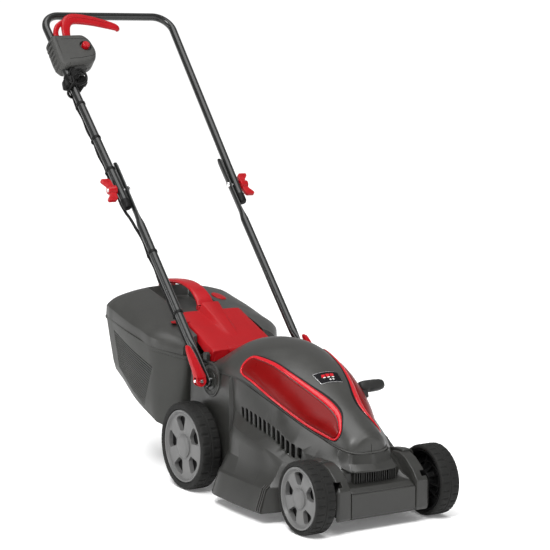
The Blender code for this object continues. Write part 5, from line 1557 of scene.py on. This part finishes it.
def lid_height(y, share):
    """Height of the lid above its rim's plane at a share of the half width."""
    fall = smooth_value(LID_STATIONS, y, 3) if y > .790 else 0.0
    crease = catcher_crease(y) - fall
    table = [(0.0, .0300), (.34, .0270), (.42, .0255), (.65, .0190), (.90, .0060), (.97, -.0015)]
    lift = smooth_value(table, min(share, .97), 1)
    dip = 0.0
    if .648 < y < .802:
        along = min(1.0, max(0.0, min(y - .652, .798 - y) / .010))
        across = min(1.0, max(0.0, (.345 - share) / .055))
        dip = .0260 * (along * along * (3 - 2 * along)) * (across * across * (3 - 2 * across))
    return crease + lift - dip


def build_lid():
    shares = [1.0, .997, .988, .975, .955, .925, .88, .82, .74, .65, .55, .47, .42, .38, .355, .34, .325, .31,
              .295,
              .28, .24, .16, .08, 0.0]
    rows = []
    ys = sorted(set([.5230, .5260, .5320] + list(np.linspace(.540, .640, 12)) + list(np.linspace(.644, .806,
                                                                                                 42))
                    + [.8100, .8140, .8175, .8200, .8220]))
    for y in ys:
        y = float(y)
        half_width = smooth_value(LID_STATIONS, y, 1)
        rim = column(LID_STATIONS, y, 2) + .0005
        row = []
        for share in shares:
            if share == 1.0:
                row.append(Vector((half_width, y, rim)))
            elif share > .96:
                t = (1.0 - share) / .025
                top = lid_height(y, .955) - .006
                row.append(Vector((half_width * (1 - .010 * t), y, rim + (top - rim) * min(1.0, t * 1.02))))
            else:
                row.append(Vector((half_width * share, y, lid_height(y, share))))
        rows.append([Vector((-p.x, p.y, p.z)) for p in row[:-1]] + list(reversed(row)))
    lid = shell(loft(rows, cap_first=True, cap_last=True), .0024)
    lid = carve(lid, [block((-.0818, .400, .200), (.0818, .6150, .450))])
    add("catcher_lid", lid, "hood_plastic", "catcher", ["catcher_upper"], bevel=0.0010, segments=2, limit=32,
        sharp=40)
    window_y = 0.715
    spots = [(.0150 * math.cos(turn), .0210 * math.sin(turn))
             for turn in np.linspace(0, 2 * math.pi, 33)[:-1]]
    rows = []
    for scale, lift in ((1.0, -.0020), (1.0, .0010), (.94, .0022), (.80, .0028), (.45, .0032), (.02, .0034)):
        ring = []
        for a, b in spots:
            x, yy = .0830 + a * scale, window_y + b * scale
            half_width = smooth_value(LID_STATIONS, yy, 1)
            ring.append((x, yy, lid_height(yy, x / half_width) + lift))
        rows.append(ring)
    add("lid_window_left", loft(rows, closed=True, cap_last=True), "flap_red", "catcher")


def build_catcher_handle():
    path = [(0.6290, 0.3480), (0.6400, 0.3620), (0.6650, 0.3780), (0.7000, 0.3880), (0.7350, 0.3900),
            (0.7700, 0.3880), (0.7960, 0.3855), (0.8050, 0.3835)]
    line = spline([(0, y, z) for y, z in path], 5)
    half = [float(np.interp(p.y, (.629, .660, .735, .805), (.0205, .0185, .0165, .0175))) for p in line]
    grip = sweep(line, [(.0042, w) for w in half], across=(1, 0, 0), sides=28, power=0.55, caps=True)
    add("catcher_grip", grip, "red_plastic", "catcher", ["catcher_handle"], sharp=60)
    under = sweep([p + Vector((0, 0, -.0038)) for p in line[3:-3]], [(.0016, w * .82) for w in half[3:-3]],
                  across=(1, 0, 0), sides=16, power=0.6)
    add("catcher_grip_liner", under, "black_plastic", "catcher", sharp=60)
    feet = []
    for y, z in ((.6315, .3440), (.8040, .3760)):
        feet.append(prism(rounded([(-.0200, y - .0065), (.0200, y - .0065), (.0200, y + .0065),
                                   (-.0200, y + .0065)],
                                  .004), z - .0110, z + .0040))
    add("catcher_grip_feet", joined(*feet), "red_plastic", "catcher", bevel=0.0015, segments=3)


build_catcher_box()
build_lid()
build_catcher_handle()


# ------------------------------------------------------------ finishes of the CAD parts that stay

KEPT_LOOKS = {
    "axle_clamp_front": "black_plastic", "axle_clamp_rear": "black_plastic", "discharge_ramp": "deck_plastic",
    "motor_base": "black_plastic", "motor_housing": "steel", "motor_shaft": "bright_steel",
    "stator": "lamination", "armature": "lamination", "commutator": "copper", "cooling_fan": "grip_plastic",
    "bearing_upper": "bright_steel", "bearing_lower": "bright_steel", "brush_holder_left": "copper",
    "brush_holder_right": "copper", "blade": "blade_steel", "blade_bolt": "bright_steel",
    "blade_holder": "grip_plastic", "front_axle": "steel", "rear_axle": "steel", "link_rod": "steel",
    "flap_hinge_pin": "steel", "microswitch": "black_plastic",
}
for node_name, item in frame["nodes"].items():
    if item.hide_render:
        continue
    look = KEPT_LOOKS.get(node_name, "black_plastic")
    item.data.materials.clear()
    item.data.materials.append(LOOKS[look])
    edges = item.modifiers.new("edges", "BEVEL")
    edges.width = 0.0004
    edges.segments = 2
    edges.limit_method = "ANGLE"
    edges.angle_limit = math.radians(35)


# ------------------------------------------------------------ floor, light and camera

def stage_material(name, colour, roughness):
    g = Graph(name)
    soft = g.noise(3.0, 3.0)
    g.set(Base_Color=g.ramp(soft, [(0.3, shade(colour, 0.995)), (0.7, shade(colour, 1.005))]),
          Roughness=g.spread(soft, roughness - 0.02, roughness + 0.02), Specular_IOR_Level=0.1,
          Emission_Color=(1.0, 1.0, 1.0, 1.0), Emission_Strength=0.12)
    return g.item


def build_stage():
    work = bmesh.new()
    bmesh.ops.create_grid(work, x_segments=1, y_segments=1, size=14.0)
    mesh = bpy.data.meshes.new("floor")
    work.to_mesh(mesh)
    work.free()
    mesh.materials.append(stage_material("studio_floor", (0.93, 0.93, 0.93), 0.75))
    floor = bpy.data.objects.new("studio_floor", mesh)
    bpy.context.scene.collection.objects.link(floor)
    floor.location.z = CAD_BOX[0][2] - 0.0003


def area_light(name, place, target, size, power, colour=(1, 1, 1)):
    data = bpy.data.lights.new(name, "AREA")
    data.shape = "RECTANGLE"
    data.size, data.size_y = size
    data.energy = power
    data.color = colour
    item = bpy.data.objects.new(name, data)
    bpy.context.scene.collection.objects.link(item)
    item.location = place
    item.rotation_euler = (Vector(target) - Vector(place)).to_track_quat("-Z", "Y").to_euler()


def build_light():
    world = bpy.data.worlds.new("studio")
    bpy.context.scene.world = world
    world.use_nodes = True
    nodes, links = world.node_tree.nodes, world.node_tree.links
    sky = nodes["Background"]
    sky.inputs["Color"].default_value = (1.0, 1.0, 1.0, 1.0)
    split = nodes.new("ShaderNodeSeparateXYZ")
    fade = nodes.new("ShaderNodeMapRange")
    for socket, value in (("From Min", 0.03), ("From Max", 0.18), ("To Min", 1.06), ("To Max", 0.38)):
        fade.inputs[socket].default_value = value
    links.new(nodes.new("ShaderNodeTexCoord").outputs["Generated"], split.inputs["Vector"])
    links.new(split.outputs["Z"], fade.inputs["Value"])
    links.new(fade.outputs["Result"], sky.inputs["Strength"])
    area_light("key", (-1.9, -1.9, 2.6), (0, 0, .25), (1.1, 1.1), 95)
    overhead = bpy.data.lights.new("overhead", "SUN")
    overhead.energy = 2.7
    overhead.angle = math.radians(55)
    item = bpy.data.objects.new("overhead", overhead)
    bpy.context.scene.collection.objects.link(item)
    item.rotation_euler = (math.radians(8), math.radians(-6), 0)
    area_light("side", (-3.0, 0.9, 1.1), (0, 0, .4), (0.4, 1.8), 20)
    area_light("front", (1.7, -3.0, 1.3), (0, -.2, .2), (1.0, 1.4), 10)
    bpy.context.scene.view_settings.view_transform = "Standard"


def build_camera():
    data = bpy.data.cameras.new("camera")
    data.lens = 120.24
    data.sensor_width = 36.0
    item = bpy.data.objects.new("camera", data)
    bpy.context.scene.collection.objects.link(item)
    item.location = (-1.9725, -3.3424, 0.9041)
    item.rotation_euler = (math.radians(82.9795), 0.0, math.radians(-31.9225))
    bpy.context.scene.camera = item


build_stage()
build_light()
build_camera()
